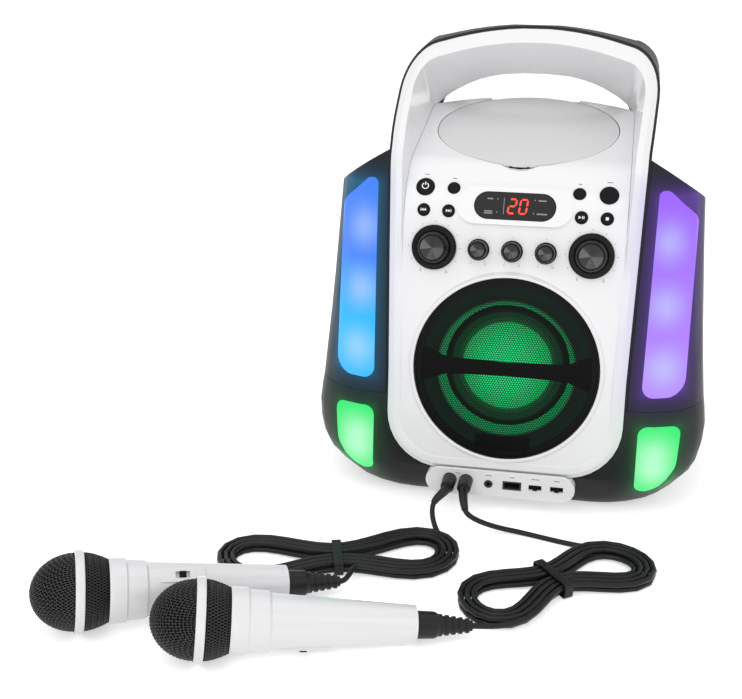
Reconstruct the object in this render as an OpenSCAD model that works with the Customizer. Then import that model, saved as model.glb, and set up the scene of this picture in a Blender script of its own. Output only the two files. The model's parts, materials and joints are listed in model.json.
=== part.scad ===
// Tabletop karaoke machine: a white front moulding with a carrying handle, black rear and
// lower mouldings, lit side covers, a top-loading disc tray, a speaker and two corded microphones.
// Origin: middle of the base on the table. +X is right as seen from the front, -Y is the front.

/* [Body] */
// Widest width, across the lower belly
body_width = 321; // [317:1:327]
// Distance from the origin to the flat back
back_depth = 112; // [110:1:116]
// Height of the handle's top
body_height = 366; // [364:1:370]
// Height at which the side covers stand on the lower body
seam_height = 92; // [90:1:94]
// Thickness of the mouldings
wall = 2.5; // [2:0.1:3]
// Gap left between mouldings that fit into each other
seam_gap = 0.3; // [0.2:0.05:0.4]
// Height of the rubber feet below the base
foot_height = 3; // [2.5:0.5:4]

/* [White rim] */
// Half width of the white rim at its straight lower sides
rim_half_width = 94.6; // [93:0.2:96]
// Height of the rim's lower edge
chin_height = 33; // [32:0.5:35]
// Radius of the rim's lower corners
chin_radius = 45; // [40:1:48]
// Radius of the handle's upper corners
handle_radius = 28; // [24:1:30]
// Width of the bevelled rim
rim_width = 9.5; // [8.5:0.5:10]
// How far the rim's outer edge is set back from its crest
rim_bevel = 3.5; // [3:0.5:4]
// How far the black shell shows round the white one
rear_lip = 2.2; // [1.8:0.1:2.6]

/* [Panel] */
// Thickness of the control panel
panel_thickness = 3; // [2.5:0.1:3.2]
// Lean of the speaker's part of the panel, in degrees
baffle_lean = 7.6; // [7:0.1:8]
// Lean of the part with the knobs, in degrees
knob_lean = 14; // [13:0.5:15]
// Slope of the disc deck above level, in degrees
deck_slope = 10; // [9:0.5:11]
// Radius of the bend between knobs and deck
bend_radius = 54.5; // [52:0.5:57]

/* [Disc tray] */
// Diameter of the disc lid
lid_diameter = 150; // [148:1:151]
// Distance of the disc's axis behind the origin
lid_back = 31; // [29:1:33]
// Thickness of the lid at its edge
lid_thickness = 2.7; // [2.5:0.1:2.9]
// Rise of the lid's dome in the middle
lid_dome = 2.4; // [1.5:0.1:3]
// Radius of the disc's well
well_radius = 64; // [62:0.5:65]
// Depth of the well's floor below the deck
well_depth = 16; // [15:0.5:18]
// Radius of the hub that a disc sits on
hub_radius = 7.4; // [7.3:0.05:7.45]
// Radius of the lid's hinge pins
pin_radius = 1.5; // [1.3:0.1:1.7]
// Travel of the laser sled
sled_travel = 34; // [30:1:36]

/* [Speaker] */
// Height of the speaker's centre
speaker_height = 120; // [118:1:122]
// Radius of the grille frame
grille_radius = 74; // [72:0.5:75]
// Radius of the speaker's cone
cone_radius = 40; // [36:1:42]
// Travel of the cone each way
cone_travel = 2; // [1:0.5:2.5]

/* [Controls] */
// Height of the row of knobs
knob_height = 213.5; // [212:0.5:216]
// Sideways place of the two large knobs
big_knob_x = 61.3; // [60:0.5:63]
// Radius of a large knob
big_knob_radius = 17.6; // [16:0.2:18]
// Length of a large knob
big_knob_length = 14; // [12:0.5:16]
// Sideways step between the small knobs
small_knob_step = 26.2; // [25:0.2:27]
// Radius of a small knob
small_knob_radius = 8.5; // [7.5:0.1:9]
// Length of a small knob
small_knob_length = 11; // [9:0.5:13]
// Radius of the knobs' shafts
shaft_radius = 3; // [2.8:0.1:3.2]
// Height of the upper row of buttons
upper_row_height = 257.7; // [257:0.2:259]
// Height of the lower row of buttons
lower_row_height = 241.5; // [240:0.5:242]
// Radius of the power and light buttons
big_button_radius = 7.2; // [6.8:0.1:7.6]
// Radius of the six small buttons
small_button_radius = 4.8; // [4.4:0.1:5]
// Travel of a button
button_travel = 0.8; // [0.6:0.1:1]
// Length of the display window
display_length = 63.4; // [60:0.5:66]
// Height of the display window
display_height = 21.5; // [20:0.5:23]

/* [Sockets] */
// Height of the row of sockets
socket_height = 24.8; // [24:0.2:26]
// Length of the socket plate
plate_length = 121; // [118:1:124]
// Height of the socket plate
plate_height = 22.5; // [21:0.5:24]
// Step between the two microphone sockets
mic_socket_step = 13.4; // [13:0.2:14]
// Bore radius of the audio input
aux_bore = 1.8; // [1.75:0.05:1.9]
// Travel of a slide switch each way
switch_travel = 2.2; // [1.8:0.1:2.4]

/* [Microphones] */
// Radius of a microphone's mesh head
head_radius = 27.2; // [26:0.1:27.6]
// Radius of the ring round the head
ring_radius = 28.8; // [28:0.2:30]
// Radius of the handle behind the collar
mic_radius = 19; // [18:0.5:20]
// Radius of the handle at its tail
tail_radius = 13.2; // [12:0.2:14]
// Length of the handle from the ring to the tail
mic_length = 146; // [140:1:152]
// Length of the strain relief
relief_length = 40; // [36:1:44]
// Diameter of the cord
cord_diameter = 4.2; // [4:0.1:4.4]

/* [Hidden] */
$fn = 72;
fine = 0.01;
turned_white = [0.93, 0.93, 0.94];
shell_black = [0.13, 0.13, 0.14];
trim_black = [0.05, 0.05, 0.055];
board_green = [0.1, 0.35, 0.2];

// ---- outlines with round corners ----
function unit(v) = v / norm(v);
function flat(p) = [p[0], p[1]];
function wrapped(a) = a > 180 ? a - 360 : a < -180 ? a + 360 : a;
function arc_corner(a, b, c, r, n) =
    let (u = unit(a - b), v = unit(c - b), half = acos(u * v) / 2)
    let (m = b + unit(u + v) * r / sin(half), p = b + u * r / tan(half), q = b + v * r / tan(half))
    let (a0 = atan2(p[1] - m[1], p[0] - m[0]), turn = wrapped(atan2(q[1] - m[1], q[0] - m[0]) - a0))
    [for (i = [0 : n]) m + r * [cos(a0 + turn * i / n), sin(a0 + turn * i / n)]];
// Each point is [x, y, corner radius]
function rounded(p, n = 6) =
    let (k = len(p))
    [for (i = [0 : k - 1])
        each (p[i][2] == 0 ? [flat(p[i])]
            : arc_corner(flat(p[(i + k - 1) % k]), flat(p[i]), flat(p[(i + 1) % k]), p[i][2], n))];
function mirrored(p) = concat(p, [for (i = [len(p) - 1 : -1 : 0]) [-p[i][0], p[i][1], p[i][2]]]);
function normal_at(p, i) =
    let (k = len(p), t = unit(p[(i + 1) % k] - p[(i + k - 1) % k]))
    [-t[1], t[0]];
// Moves a counter-clockwise outline inwards by d
function inset(p, d) = [for (i = [0 : len(p) - 1]) p[i] + d * normal_at(p, i)];
module pill(length, height) {
    for (s = [-1, 1]) translate([s * (length - height) / 2, 0]) circle(d = height);
    square([length - height, height], center = true);
}

// ---- side profile of the rim's crest, as [z, y] ----
crest_low = [[0, -98], [chin_height, -106], [120, -97], [213, -81.5], [263, -72], [275, -69.5]];
crest_a = [-69.5, 275];
crest_b = [-63, 307];
crest_c = [20, 322];
crest_d = [62, 356];
function bezier(t) = pow(1 - t, 3) * crest_a + 3 * t * pow(1 - t, 2) * crest_b
    + 3 * t * t * (1 - t) * crest_c + t * t * t * crest_d;
crest = concat(crest_low, [for (i = [1 : 14]) let (q = bezier(i / 14)) [q[1], q[0]]],
               [[body_height, 73], [body_height + 20, 93]]);
function crest_y(z) = lookup(z, crest);

// ---- outer form of the black body ----
body_setback = 5.5;
front_rx = 55;
front_ry = 45;
rear_r = 42;
half_width = body_width / 2;
width_loss = [[0, 36], [3, 33], [6, 29], [10, 26], [25, 13.5], [40, 4.5], [55, 1], [70, 0],
              [85, 1.7], [92, 2.9], [130, 6.8], [175, 10.2], [220, 13.2], [263, 15.5], [300, 17]];
under_front = [[0, 14], [3, 11.5], [8, 7], [18, 3], [chin_height, 0], [400, 0]];
under_back = [[0, 10], [3, 8], [8, 4], [18, 1], [30, 0], [400, 0]];
function body_half(z) = half_width - lookup(z, width_loss);
function body_front(z) = crest_y(z) + body_setback + lookup(z, under_front);
function body_back(z) = back_depth - lookup(z, under_back);
function quarter(cx, cy, rx, ry, a0, n) =
    [for (i = [0 : n]) [cx + rx * cos(a0 + 90 * i / n), cy + ry * sin(a0 + 90 * i / n)]];
function body_ring(z, d) =
    let (w = body_half(z) - d, f = body_front(z) + d, b = body_back(z) - d)
    let (rx = front_rx - d, ry = front_ry - d, r = rear_r - d)
    concat(quarter(w - rx, f + ry, rx, ry, -90, 6), quarter(w - r, b - r, r, r, 0, 4),
           quarter(r - w, b - r, r, r, 90, 4), quarter(rx - w, f + ry, rx, ry, 180, 6));
// A closed solid through rings of points that all have the same count
module loft(rings) {
    n = len(rings[0]);
    m = len(rings);
    polyhedron(points = [for (r = rings) each r],
        faces = concat([[for (i = [0 : n - 1]) i]], [[for (i = [n - 1 : -1 : 0]) (m - 1) * n + i]],
            [for (k = [0 : m - 2], i = [0 : n - 1]) let (j = (i + 1) % n)
                each [[k * n + i, (k + 1) * n + i, (k + 1) * n + j],
                      [k * n + i, (k + 1) * n + j, k * n + j]]]), convexity = 8);
}
module body_solid(heights, d) {
    loft([for (z = heights) [for (q = body_ring(z, d)) [q[0], q[1], z]]]);
}

// ---- front outline of the white rim, right half from the bottom up ----
white_top = body_height - rear_lip;
top_arc_radius = 277;
side_low_z = 115;
side_mid_z = 290;
side_mid_x = rim_half_width + 4.7;
corner_x = side_mid_x + 6;
corner_z = white_top - 17.5;
function side_x(z) = lookup(z, [[0, rim_half_width], [side_low_z, rim_half_width],
                                [side_mid_z, side_mid_x], [corner_z, corner_x]]);
function top_z(x) = white_top - x * x / 2 / top_arc_radius;
knob_start_z = 190;
rim_half = concat([[rim_half_width, chin_height, chin_radius]],
    [for (z = [side_low_z : 18.75 : knob_start_z - 1]) [side_x(z), z, 0]],
    [for (z = [knob_start_z : 16.5 : 257]) [side_x(z), z, 0]],
    [for (z = [266 : 8 : 314]) [side_x(z), z, 0]],
    [[corner_x, corner_z, handle_radius]],
    [for (x = [66 : -11 : 10]) [x, top_z(x), 0]]);
rim_outline = rounded(mirrored(rim_half), 9);
black_outline = inset(rim_outline, -rear_lip);

// ---- side profile of the panel, as [y, z] ----
chin_y = -106;
bend_start_z = 236;
knob_start_y = chin_y + (knob_start_z - chin_height) * tan(baffle_lean);
bend_start_y = knob_start_y + (bend_start_z - knob_start_z) * tan(knob_lean);
bend_y = bend_start_y + bend_radius * cos(knob_lean);
bend_z = bend_start_z - bend_radius * sin(knob_lean);
bend_end = 90 - deck_slope;
deck_y = bend_y - bend_radius * cos(bend_end);
deck_z = bend_z + bend_radius * sin(bend_end);
deck_back_y = back_depth - 5;
deck_arc = 0.0034;
function deck_edge_y(x) = deck_back_y - 0.5 - deck_arc * x * x;
function deck_plan(half) = concat([[-half, -200], [half, -200]],
    [for (i = [6 : -1 : -6]) [half * i / 6, deck_edge_y(half * i / 6)]]);
function deck_height(y) = deck_z + (y - deck_y) * tan(deck_slope);
function bend_lean(z) = asin((z - bend_z) / bend_radius);
function panel_lean(z) = z < knob_start_z ? baffle_lean : z < bend_start_z ? knob_lean : bend_lean(z);
function panel_y(z) =
    z < knob_start_z ? chin_y + (z - chin_height) * tan(baffle_lean)
    : z < bend_start_z ? knob_start_y + (z - knob_start_z) * tan(knob_lean)
    : bend_y - bend_radius * cos(bend_lean(z));
function panel_line(d) = concat(
    [[chin_y + d * cos(baffle_lean), chin_height - d * sin(baffle_lean)]],
    [[knob_start_y + d, knob_start_z - d * sin(baffle_lean)]],
    [for (i = [0 : 16]) let (a = knob_lean + (bend_end - knob_lean) * i / 16)
        [bend_y - (bend_radius - d) * cos(a), bend_z + (bend_radius - d) * sin(a)]],
    [[back_depth + d * sin(deck_slope), deck_height(back_depth) - d * cos(deck_slope)]]);
// Places a piece on the panel's face, with its own +Z pointing out
module on_panel(x, z) {
    translate([x, panel_y(z), z]) rotate([90 - panel_lean(z), 0, 0]) children();
}
// Places a piece on the deck at the disc's axis, with its own +Z pointing up out of the deck
module on_deck() {
    translate([0, lid_back, deck_height(lid_back)]) rotate([deck_slope, 0, 0]) children();
}
module along_x(width) rotate([90, 0, 90]) translate([0, 0, -width / 2]) linear_extrude(width) children();
module along_y(y0, y1) translate([0, y1, 0]) rotate([90, 0, 0]) linear_extrude(y1 - y0) children();

// ---- the opening under the handle ----
grip_half = 86;
function grip_floor(x) = deck_height(deck_edge_y(x)) - 3 - 0.0005 * x * x;
grip_arch = [[0, 324.3], [30, 322], [40, 319.8], [50, 316.8], [60, 312.5], [70, 307], [80, 299.8],
             [85, 294.4], [grip_half, 293]];
grip_y = 90;
grip_corner_y = 80;
function arch_z(x) = lookup(abs(x), grip_arch) + body_height - 366;
function arch_y(x) = lookup(abs(x), [[0, grip_y], [78, grip_y], [grip_half, grip_corner_y]]);
grip_points = concat([for (x = [-80 : 10 : 80]) [x, arch_z(x)]], [for (x = [84 : -14 : -84]) [x, grip_floor(x)]]);
floor_band = concat([for (x = [-84 : 14 : 84]) [x, grip_floor(x) - wall]],
    [for (x = [84 : -14 : -84]) [x, grip_floor(x)]]);
grip_outline = [for (i = [len(grip_points) - 1 : -1 : 0]) grip_points[i]];

// ---- foot of the rim's inner wall ----
cheek_start_z = 235;
cheek_end_z = 340;
bend_arc = bend_radius * (bend_end - knob_lean) * PI / 180;
foot_end_y = 80;
foot_run = bend_arc + (foot_end_y - deck_y) / cos(deck_slope);
foot_share = [[cheek_start_z, 0], [275, 0.23], [290, 0.33], [305, 0.46], [320, 0.64], [335, 0.9],
              [cheek_end_z, 1]];
function path_point(s) =
    let (run = s * foot_run)
    run < bend_arc
        ? let (a = knob_lean + run / bend_radius * 180 / PI)
          [bend_y - bend_radius * cos(a), bend_z + bend_radius * sin(a)]
        : [deck_y + (run - bend_arc) * cos(deck_slope), deck_z + (run - bend_arc) * sin(deck_slope)];
arch_share = [[0, 0], [66, 58], [80, 70], [90, 78.5], [98, 83.5], [105, grip_half]];
foot_inset = rim_width + 1.5;
foot_clearance = 0.03;
edge_step = 0.3;
function rim_foot(p, n) =
    p[1] < cheek_start_z
        ? let (q = p + foot_inset * n) [q[0], panel_y(max(q[1], chin_height)) - foot_clearance, q[1]]
    : p[1] < cheek_end_z && abs(p[0]) > 95
        ? let (q = path_point(lookup(p[1], foot_share)))
          [sign(p[0]) * (side_x(cheek_start_z) - foot_inset), q[0], q[1]]
        : let (x = sign(p[0]) * lookup(abs(p[0]), arch_share)) [x, arch_y(x), arch_z(x)];
// The rim's inner edge stays in front of the panel's face, which comes forward of the crest at the chin
function inner_edge_y(z) =
    let (y = crest_y(z) + 1.2)
    z < cheek_start_z ? min(y, panel_y(max(z, chin_height)) - edge_step) : y;
function rim_section(i) =
    let (p = rim_outline[i], n = normal_at(rim_outline, i), f = rim_foot(p, n))
    let (c = p + rim_width / 2 * n, e = p + rim_width * n, b = p + (rim_width - 3) * n)
    let (back = p[1] > cheek_end_z ? 0.45 * wall
        : p[1] < cheek_start_z ? panel_y(max(f[2] - wall * n[1], chin_height)) - foot_clearance - f[1] : 0)
    [[p[0], crest_y(p[1]) + body_setback + 0.5, p[1]],
     [p[0], crest_y(p[1]) + rim_bevel, p[1]],
     [c[0], crest_y(c[1]), c[1]],
     [e[0], inner_edge_y(e[1]), e[1]],
     f,
     [f[0] - wall * n[0], f[1] + back, f[2] - wall * n[1]],
     [b[0], crest_y(b[1]) + body_setback + 0.5, b[1]]];

// ---- body mouldings ----
low_heights = [foot_height, foot_height + 2, 8, 13, 20, 33, 42, 55, 70, 85, seam_height];
cover_base = seam_height + seam_gap;
cover_heights = [cover_base, 120, 150, 180, 213, 240, 263, 275, 285, 300];
cover_top_in = 290.5;
cover_slope = 0.6;
cover_fall = 0.26;
cover_front_y = -72;
tall_lens = [[107, 103.5, 9], [140.5, 103.5, 14], [141, 240, 12], [117, 263, 6], [109.3, 263, 4]];
corner_lens = [[106.8, 20.5, 9], [124, 20.5, 14], [138.5, 44, 20], [140.3, 80, 8], [106.5, 80, 8]];
lens_thickness = 2.2;
socket_block_x = plate_length / 2 - 3.5;
socket_block_z = 15;
front_reach = -170;
function grown(p, d) = inset(rounded(p, 6), -d);
module lens_hole(p, side, d) {
    along_y(-150, -25) mirror([side < 0 ? 1 : 0, 0, 0]) polygon(grown(p, d));
}
module lower_shell() color(shell_black) {
    tab_x = [64, 76];
    difference() {
        body_solid(low_heights, 0);
        body_solid([foot_height + wall, 8, 13, 20, 33, 42, 55, 70, 85, seam_height, seam_height + 1], wall);
        along_y(front_reach, -60) polygon(inset(rim_outline, -seam_gap));
        for (s = [-1, 1]) lens_hole(corner_lens, s, seam_gap / 2);
        translate([0, -90, socket_height])
            cube([2 * socket_block_x + 2 * seam_gap, 60, socket_block_z + 2 * seam_gap], center = true);
        translate([power_x, back_depth - 10, power_z]) rotate([-90, 0, 0])
            cylinder(r = power_radius + seam_gap, h = 20);
    }
    for (s = [-1, 1]) translate([s * 70, back_depth - wall - 2.3, 82])
        cube([12, 4, 50], center = true);
}
power_x = -60;
power_z = 30;
power_radius = 5;
rear_screw_x = 70;
rear_screw_z = seam_height + 8;
rear_top = 361;
rear_side = concat([for (z = [seam_height : 12 : 272]) [crest_y(z) + body_setback + 0.6, z]],
    [for (i = [1 : 14]) let (q = bezier(i / 14)) [q[0] + body_setback + 0.6, q[1]]],
    [[78.6, body_height], [88, body_height - 0.7]]);
function rear_profile(d) = concat(rear_side,
    rounded([[94, body_height - 1.2, 3], [back_depth - 6 - d, rear_top - 20, 14],
             [back_depth - d, 296, 20], [back_depth - d, seam_height, 0]], 5));
module rear_shell() color(shell_black) {
    difference() {
        union() {
            difference() {
                intersection() {
                    along_x(240) polygon(rear_profile(0));
                    along_y(front_reach, back_depth + 5) polygon(black_outline);
                }
                intersection() {
                    along_x(240) polygon(rear_inner);
                    along_y(front_reach, back_depth + 5) polygon(inset(black_outline, wall));
                }
            }
            difference() {
                union() {
                    along_y(grip_y + 2, back_depth - 1) polygon(inset(grip_outline, -wall));
                    along_y(grip_corner_y + 4, grip_y + 4) polygon(floor_band);
                }
                intersection() {
                    translate([0, 0, deck_z]) rotate([deck_slope, 0, 0]) translate([-grip_half - 4, 0, -8])
                        cube([2 * grip_half + 8, deck_reach, 11 + panel_thickness + seam_gap]);
                    linear_extrude(400) polygon(inset(deck_plan(grip_half + 3), -1));
                }
            }
        }
        along_y(grip_y - 30, back_depth + 5) polygon(grip_outline);
        hinge_notch();
        for (s = [-1, 1]) translate([s * rear_screw_x, back_depth - 5, rear_screw_z])
            rotate([-90, 0, 0]) cylinder(r = 1.7, h = 10);
        for (i = [-4 : 4]) translate([i * 12, back_depth, 210]) cube([4, 10, 50], center = true);
    }
}
rear_inner = rounded([[front_reach, seam_height - 9, 0], [back_depth - wall, seam_height - 9, 0],
                      [back_depth - wall, 296, 18], [back_depth - 6 - wall, rear_top - 20 - wall, 12],
                      [94 - wall, body_height + 1, 0], [94 - wall, 420, 0], [front_reach, 420, 0]], 4);
deck_reach = deck_back_y / cos(deck_slope) + 1.9;
module front_shell() color(turned_white) {
    n = len(rim_outline);
    m = 7;
    polyhedron(points = [for (i = [0 : n - 1]) each rim_section(i)],
        faces = [for (i = [0 : n - 1], k = [0 : m - 1])
            let (j = (i + 1) % n, l = (k + 1) % m)
            each [[i * m + k, i * m + l, j * m + l], [i * m + k, j * m + l, j * m + k]]], convexity = 10);
}
lid_radius = lid_diameter / 2;
lid_gap = 0.6;
hinge_y = lid_radius - 5;
hinge_z = -5.5;
hinge_x = 20;
lug_width = 4;
ledge_z = -8.6;
ledge_thickness = 2;
ledge_radius = lid_radius + 2.5;
well_wall = 2;
bezel_half_height = 15;
bezel_length = 91;
bezel_rise = 0.6;
button_gap = 0.35;
opening_radius = grille_radius - 4;
lip_width = 5;
lip_rise = 1.8;
screw_circle = grille_radius + 3;
screw_radius = 1.4;
big_buttons = [[-71.5, "power"], [71.5, "light"]];
upper_small = [-48.9, 48.9];
lower_small = [-71.2, -51.6, 51.6, 71.2];
module button_places() {
    for (b = big_buttons) on_panel(b[0], upper_row_height) children(0);
    for (x = upper_small) on_panel(x, upper_row_height) children(1);
    for (x = lower_small) on_panel(x, lower_row_height) children(1);
}
module knob_places() {
    for (s = [-1, 1]) on_panel(s * big_knob_x, knob_height) children();
    for (i = [-1 : 1]) on_panel(i * small_knob_step, knob_height) children();
}
lip_foot = (speaker_height - chin_height - foot_inset) / cos(baffle_lean) - 0.2;
module hinge_notch() on_deck() translate([-38.5, hinge_y - 15, -12]) cube([77, 23, 20]);
module control_panel() color(turned_white) {
    edge = inset(rim_outline, rim_width - 0.8);
    low = [for (p = edge) if (p[1] < cheek_start_z) p];
    half = side_x(cheek_start_z) - foot_inset - 0.15;
    difference() {
        union() {
            intersection() {
                along_x(200) polygon(concat(panel_line(0), [for (i = [len(panel_line(0)) - 1 : -1 : 0])
                    panel_line(panel_thickness)[i]]));
                union() {
                    along_y(front_reach, 0) polygon([for (p = edge) p[1] < cheek_start_z ? p
                        : [sign(p[0]) * half, p[1] > 290 ? 320 : cheek_start_z]]);
                    translate([-half, -90, cheek_start_z - 1]) cube([2 * half, 300, 100]);
                }
                linear_extrude(400) polygon(deck_plan(half));
            }
            on_panel(0, speaker_height) intersection() {
                rotate_extrude()
                    polygon([[grille_radius + seam_gap, -1], [grille_radius + seam_gap, lip_rise * 0.7],
                             [grille_radius + 1.5, lip_rise], [grille_radius + 2.5, lip_rise],
                             [grille_radius + lip_width, -1]]);
                translate([-100, -lip_foot, -2]) cube([200, 300, 20]);
            }
            on_panel(0, display_z) translate([0, 0, -5]) linear_extrude(5 + bezel_rise)
                pill(bezel_length, 2 * bezel_half_height);
        }
        on_panel(0, speaker_height) translate([0, 0, -10]) cylinder(r = opening_radius, h = 20);
        on_panel(0, speaker_height) for (a = [45 : 90 : 315]) rotate(a) translate([screw_circle, 0, -4])
            cylinder(r = screw_radius, h = 4 - 0.7);
        on_panel(0, display_z) translate([0, 0, -10]) linear_extrude(20)
            pill(display_length + 2 * seam_gap, display_height + 2 * seam_gap);
        knob_places() translate([0, 0, -10]) cylinder(r = shaft_radius + 0.6, h = 20);
        button_places() {
            translate([0, 0, -10]) cylinder(r = big_button_radius + button_gap, h = 20);
            translate([0, 0, -10]) cylinder(r = small_button_radius + button_gap, h = 20);
        }
        on_deck() translate([0, 0, -12]) cylinder(r = lid_radius + lid_gap, h = 20);
        on_deck() translate([0, 2.4, -12]) cylinder(r = lid_radius + lid_gap, h = 20);
        hinge_notch();
        on_deck() intersection() {
            translate([0, 1 - lid_radius, 41]) sphere(r = 45);
            translate([-20, -lid_radius - 6, -10]) cube([40, 30, 20]);
        }
    }
}
display_z = 247;
module side_cover(side) color(shell_black) {
    mirror([side < 0 ? 1 : 0, 0, 0]) difference() {
        intersection() {
            body_solid(cover_heights, 0);
            cover_block(0);
        }
        intersection() {
            body_solid(concat([seam_height - 2], [for (i = [1 : 9]) cover_heights[i]]), wall);
            cover_block(wall);
        }
        along_y(front_reach, 200) polygon(inset(black_outline, -seam_gap));
        lens_hole(tall_lens, 1, seam_gap / 2);
    }
}
// The covers' tops fall towards the back by cover_fall for each millimetre
function cover_outline(d) =
    [[80, seam_height - 60], [190, seam_height - 60], [190, cover_top_in - d - 91 * cover_slope],
     [99, cover_top_in - d], [80, cover_top_in - d]];
module cover_block(d)
    loft([for (y = [200, front_reach])
        [for (q = cover_outline(d)) [q[0], y, q[1] - cover_fall * (y - cover_front_y)]]]);
module lens_pair(p, heights) {
    for (s = [-1, 1]) mirror([s < 0 ? 1 : 0, 0, 0]) difference() {
        intersection() {
            body_solid(heights, 0);
            lens_hole(p, 1, 0);
        }
        body_solid([for (i = [0 : len(heights) - 1]) heights[i]], lens_thickness);
    }
}
module light_lenses() color([0.45, 0.4, 0.95]) lens_pair(tall_lens, [98, 120, 150, 180, 213, 240, 263, 268]);
module corner_lenses() color([0.2, 0.9, 0.4]) lens_pair(corner_lens, [13, 20, 33, 42, 55, 70, 85]);
board_x = body_width / 2 - 39.5;
module light_boards() color(board_green) {
    for (s = [-1, 1]) {
        translate([s * board_x, -45, 178]) cube([22, 1.6, 134], center = true);
        for (z = [130, 178, 226]) translate([s * board_x, -45.7, z]) rotate([90, 0, 0]) cylinder(r = 3, h = 2);
        translate([s * board_x, -66, 48]) cube([22, 1.6, 44], center = true);
        translate([s * board_x, -66.7, 48]) rotate([90, 0, 0]) cylinder(r = 3, h = 2);
    }
}
module feet() color(trim_black)
    for (x = [-95, 95], y = [-60, 78]) translate([x, y, 0]) cylinder(r = 9, h = foot_height);
module screw(length) {
    translate([0, 0, -fine]) cylinder(r = screw_radius, h = length + fine);
    translate([0, 0, -1.6]) cylinder(r = 2.8, h = 1.6);
}
module case_screws() color("silver") {
    on_panel(0, speaker_height) for (a = [45 : 90 : 315]) rotate(a)
        translate([screw_circle, 0, -panel_thickness - 2.05]) screw(4);
    for (s = [-1, 1]) translate([s * rear_screw_x, back_depth, rear_screw_z])
        rotate([90, 0, 0]) screw(wall);
}

// ---- disc tray ----
module cd_well() color(trim_black) on_deck() {
    difference() {
        union() {
            rotate_extrude() polygon([[18, -well_depth - well_wall], [well_radius + well_wall, -well_depth - well_wall],
                [well_radius + well_wall, ledge_z - ledge_thickness], [ledge_radius, ledge_z - ledge_thickness],
                [ledge_radius, ledge_z], [well_radius, ledge_z], [well_radius, -well_depth], [18, -well_depth]]);
            intersection() {
                rotate_extrude() translate([ledge_radius - 1.5, ledge_z - fine])
                    square([1.5, -panel_thickness - ledge_z]);
                translate([-100, -10, -20]) cube([200, 200, 30]);
            }
        }
        translate([-30, 40, ledge_z]) cube([60, 60, 20]);
        translate([-13, -well_radius + 1, -30]) cube([26, 50, 20]);
        translate([-7, -lid_radius - 1, -20]) cube([14, 5, 20]);
    }
    for (s = [-1, 1]) difference() {
        union() {
            translate([s * post_x - 2, hinge_y - 2.4, ledge_z - fine]) cube([4, 4.8, hinge_z - ledge_z]);
            translate([s * post_x - 2, hinge_y, hinge_z]) rotate([0, 90, 0]) cylinder(r = 2.4, h = 4);
        }
        translate([s * post_x - 3, hinge_y, hinge_z]) rotate([0, 90, 0])
            cylinder(r = pin_radius + 0.05, h = 6);
    }
}
post_x = hinge_x + lug_width / 2 + 2.6;
module cd_lid() color(turned_white) on_deck() {
    steps = 8;
    top = [for (i = [0 : steps]) let (r = lid_radius * i / steps) [r, lid_dome * (1 - pow(i / steps, 2))]];
    inner = lid_radius - 3;
    under = [for (i = [steps : -1 : 0]) let (r = inner * i / steps)
        [r, lid_dome * (1 - pow(i / steps, 2)) - 2.1]];
    rotate_extrude($fn = 144) polygon(concat(top, [[lid_radius, -lid_thickness], [inner, -lid_thickness]], under));
    for (s = [-1, 1]) {
        translate([s * hinge_x - lug_width / 2, hinge_y - 2.2, hinge_z]) cube([lug_width, 4.4, -hinge_z - 1.5]);
        translate([s * hinge_x - lug_width / 2, hinge_y, hinge_z]) rotate([0, 90, 0])
            cylinder(r = 2.2, h = lug_width);
        translate([s > 0 ? hinge_x : -hinge_x - lug_width / 2 - 4.6, hinge_y, hinge_z]) rotate([0, 90, 0])
            cylinder(r = pin_radius, h = lug_width / 2 + 4.6);
    }
    translate([-5, -lid_radius + 0.5, -8]) cube([10, 2, 6.5]);
}
chassis_z = -31;
chassis_thickness = 2;
rail_x = 18;
rail_z = -25;
rail_radius = 1.5;
gear_teeth = 18;
gear_pitch = 9;
gear_x = 32.25;
gear_y = -40;
gear_z = -27;
gear_height = 3;
motor_shaft = 1;
shaft_gap = 0.04;
rack_face = gear_x - gear_pitch - 1;
module mechanism_chassis() color([0.35, 0.35, 0.38]) on_deck() {
    difference() {
        translate([-36, -78, chassis_z]) cube([84, 104, chassis_thickness]);
        translate([-13, -68, chassis_z - 1]) cube([26, 50, 4]);
        translate([gear_x, gear_y, chassis_z - 1]) cylinder(r = motor_shaft + 0.6, h = 4);
        translate([0, 0, chassis_z - 1]) cylinder(r = 5, h = 4);
    }
    for (x = [-30, 30], y = [-56, 20]) translate([x, y, chassis_z + 1])
        cylinder(r = 3, h = -well_depth - well_wall - chassis_z - 1);
    for (s = [-1, 1]) {
        for (y = [-76, -6]) translate([s * rail_x - 2.4, y, chassis_z + 1]) cube([4.8, 3, rail_z + 2.5 - chassis_z - 1]);
        translate([s * rail_x, -73.5, rail_z]) rotate([-90, 0, 0]) cylinder(r = rail_radius, h = 68);
    }
}
module turntable() color([0.2, 0.2, 0.22]) on_deck() {
    translate([0, 0, -27.5]) cylinder(r = motor_shaft, h = 14);
    translate([0, 0, -14.8]) cylinder(r = 14, h = 2);
    translate([0, 0, -12.9]) cylinder(r = hub_radius, h = 2.4);
    translate([0, 0, -10.5]) cylinder(r1 = hub_radius, r2 = hub_radius - 2, h = 1.4);
}
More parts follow.
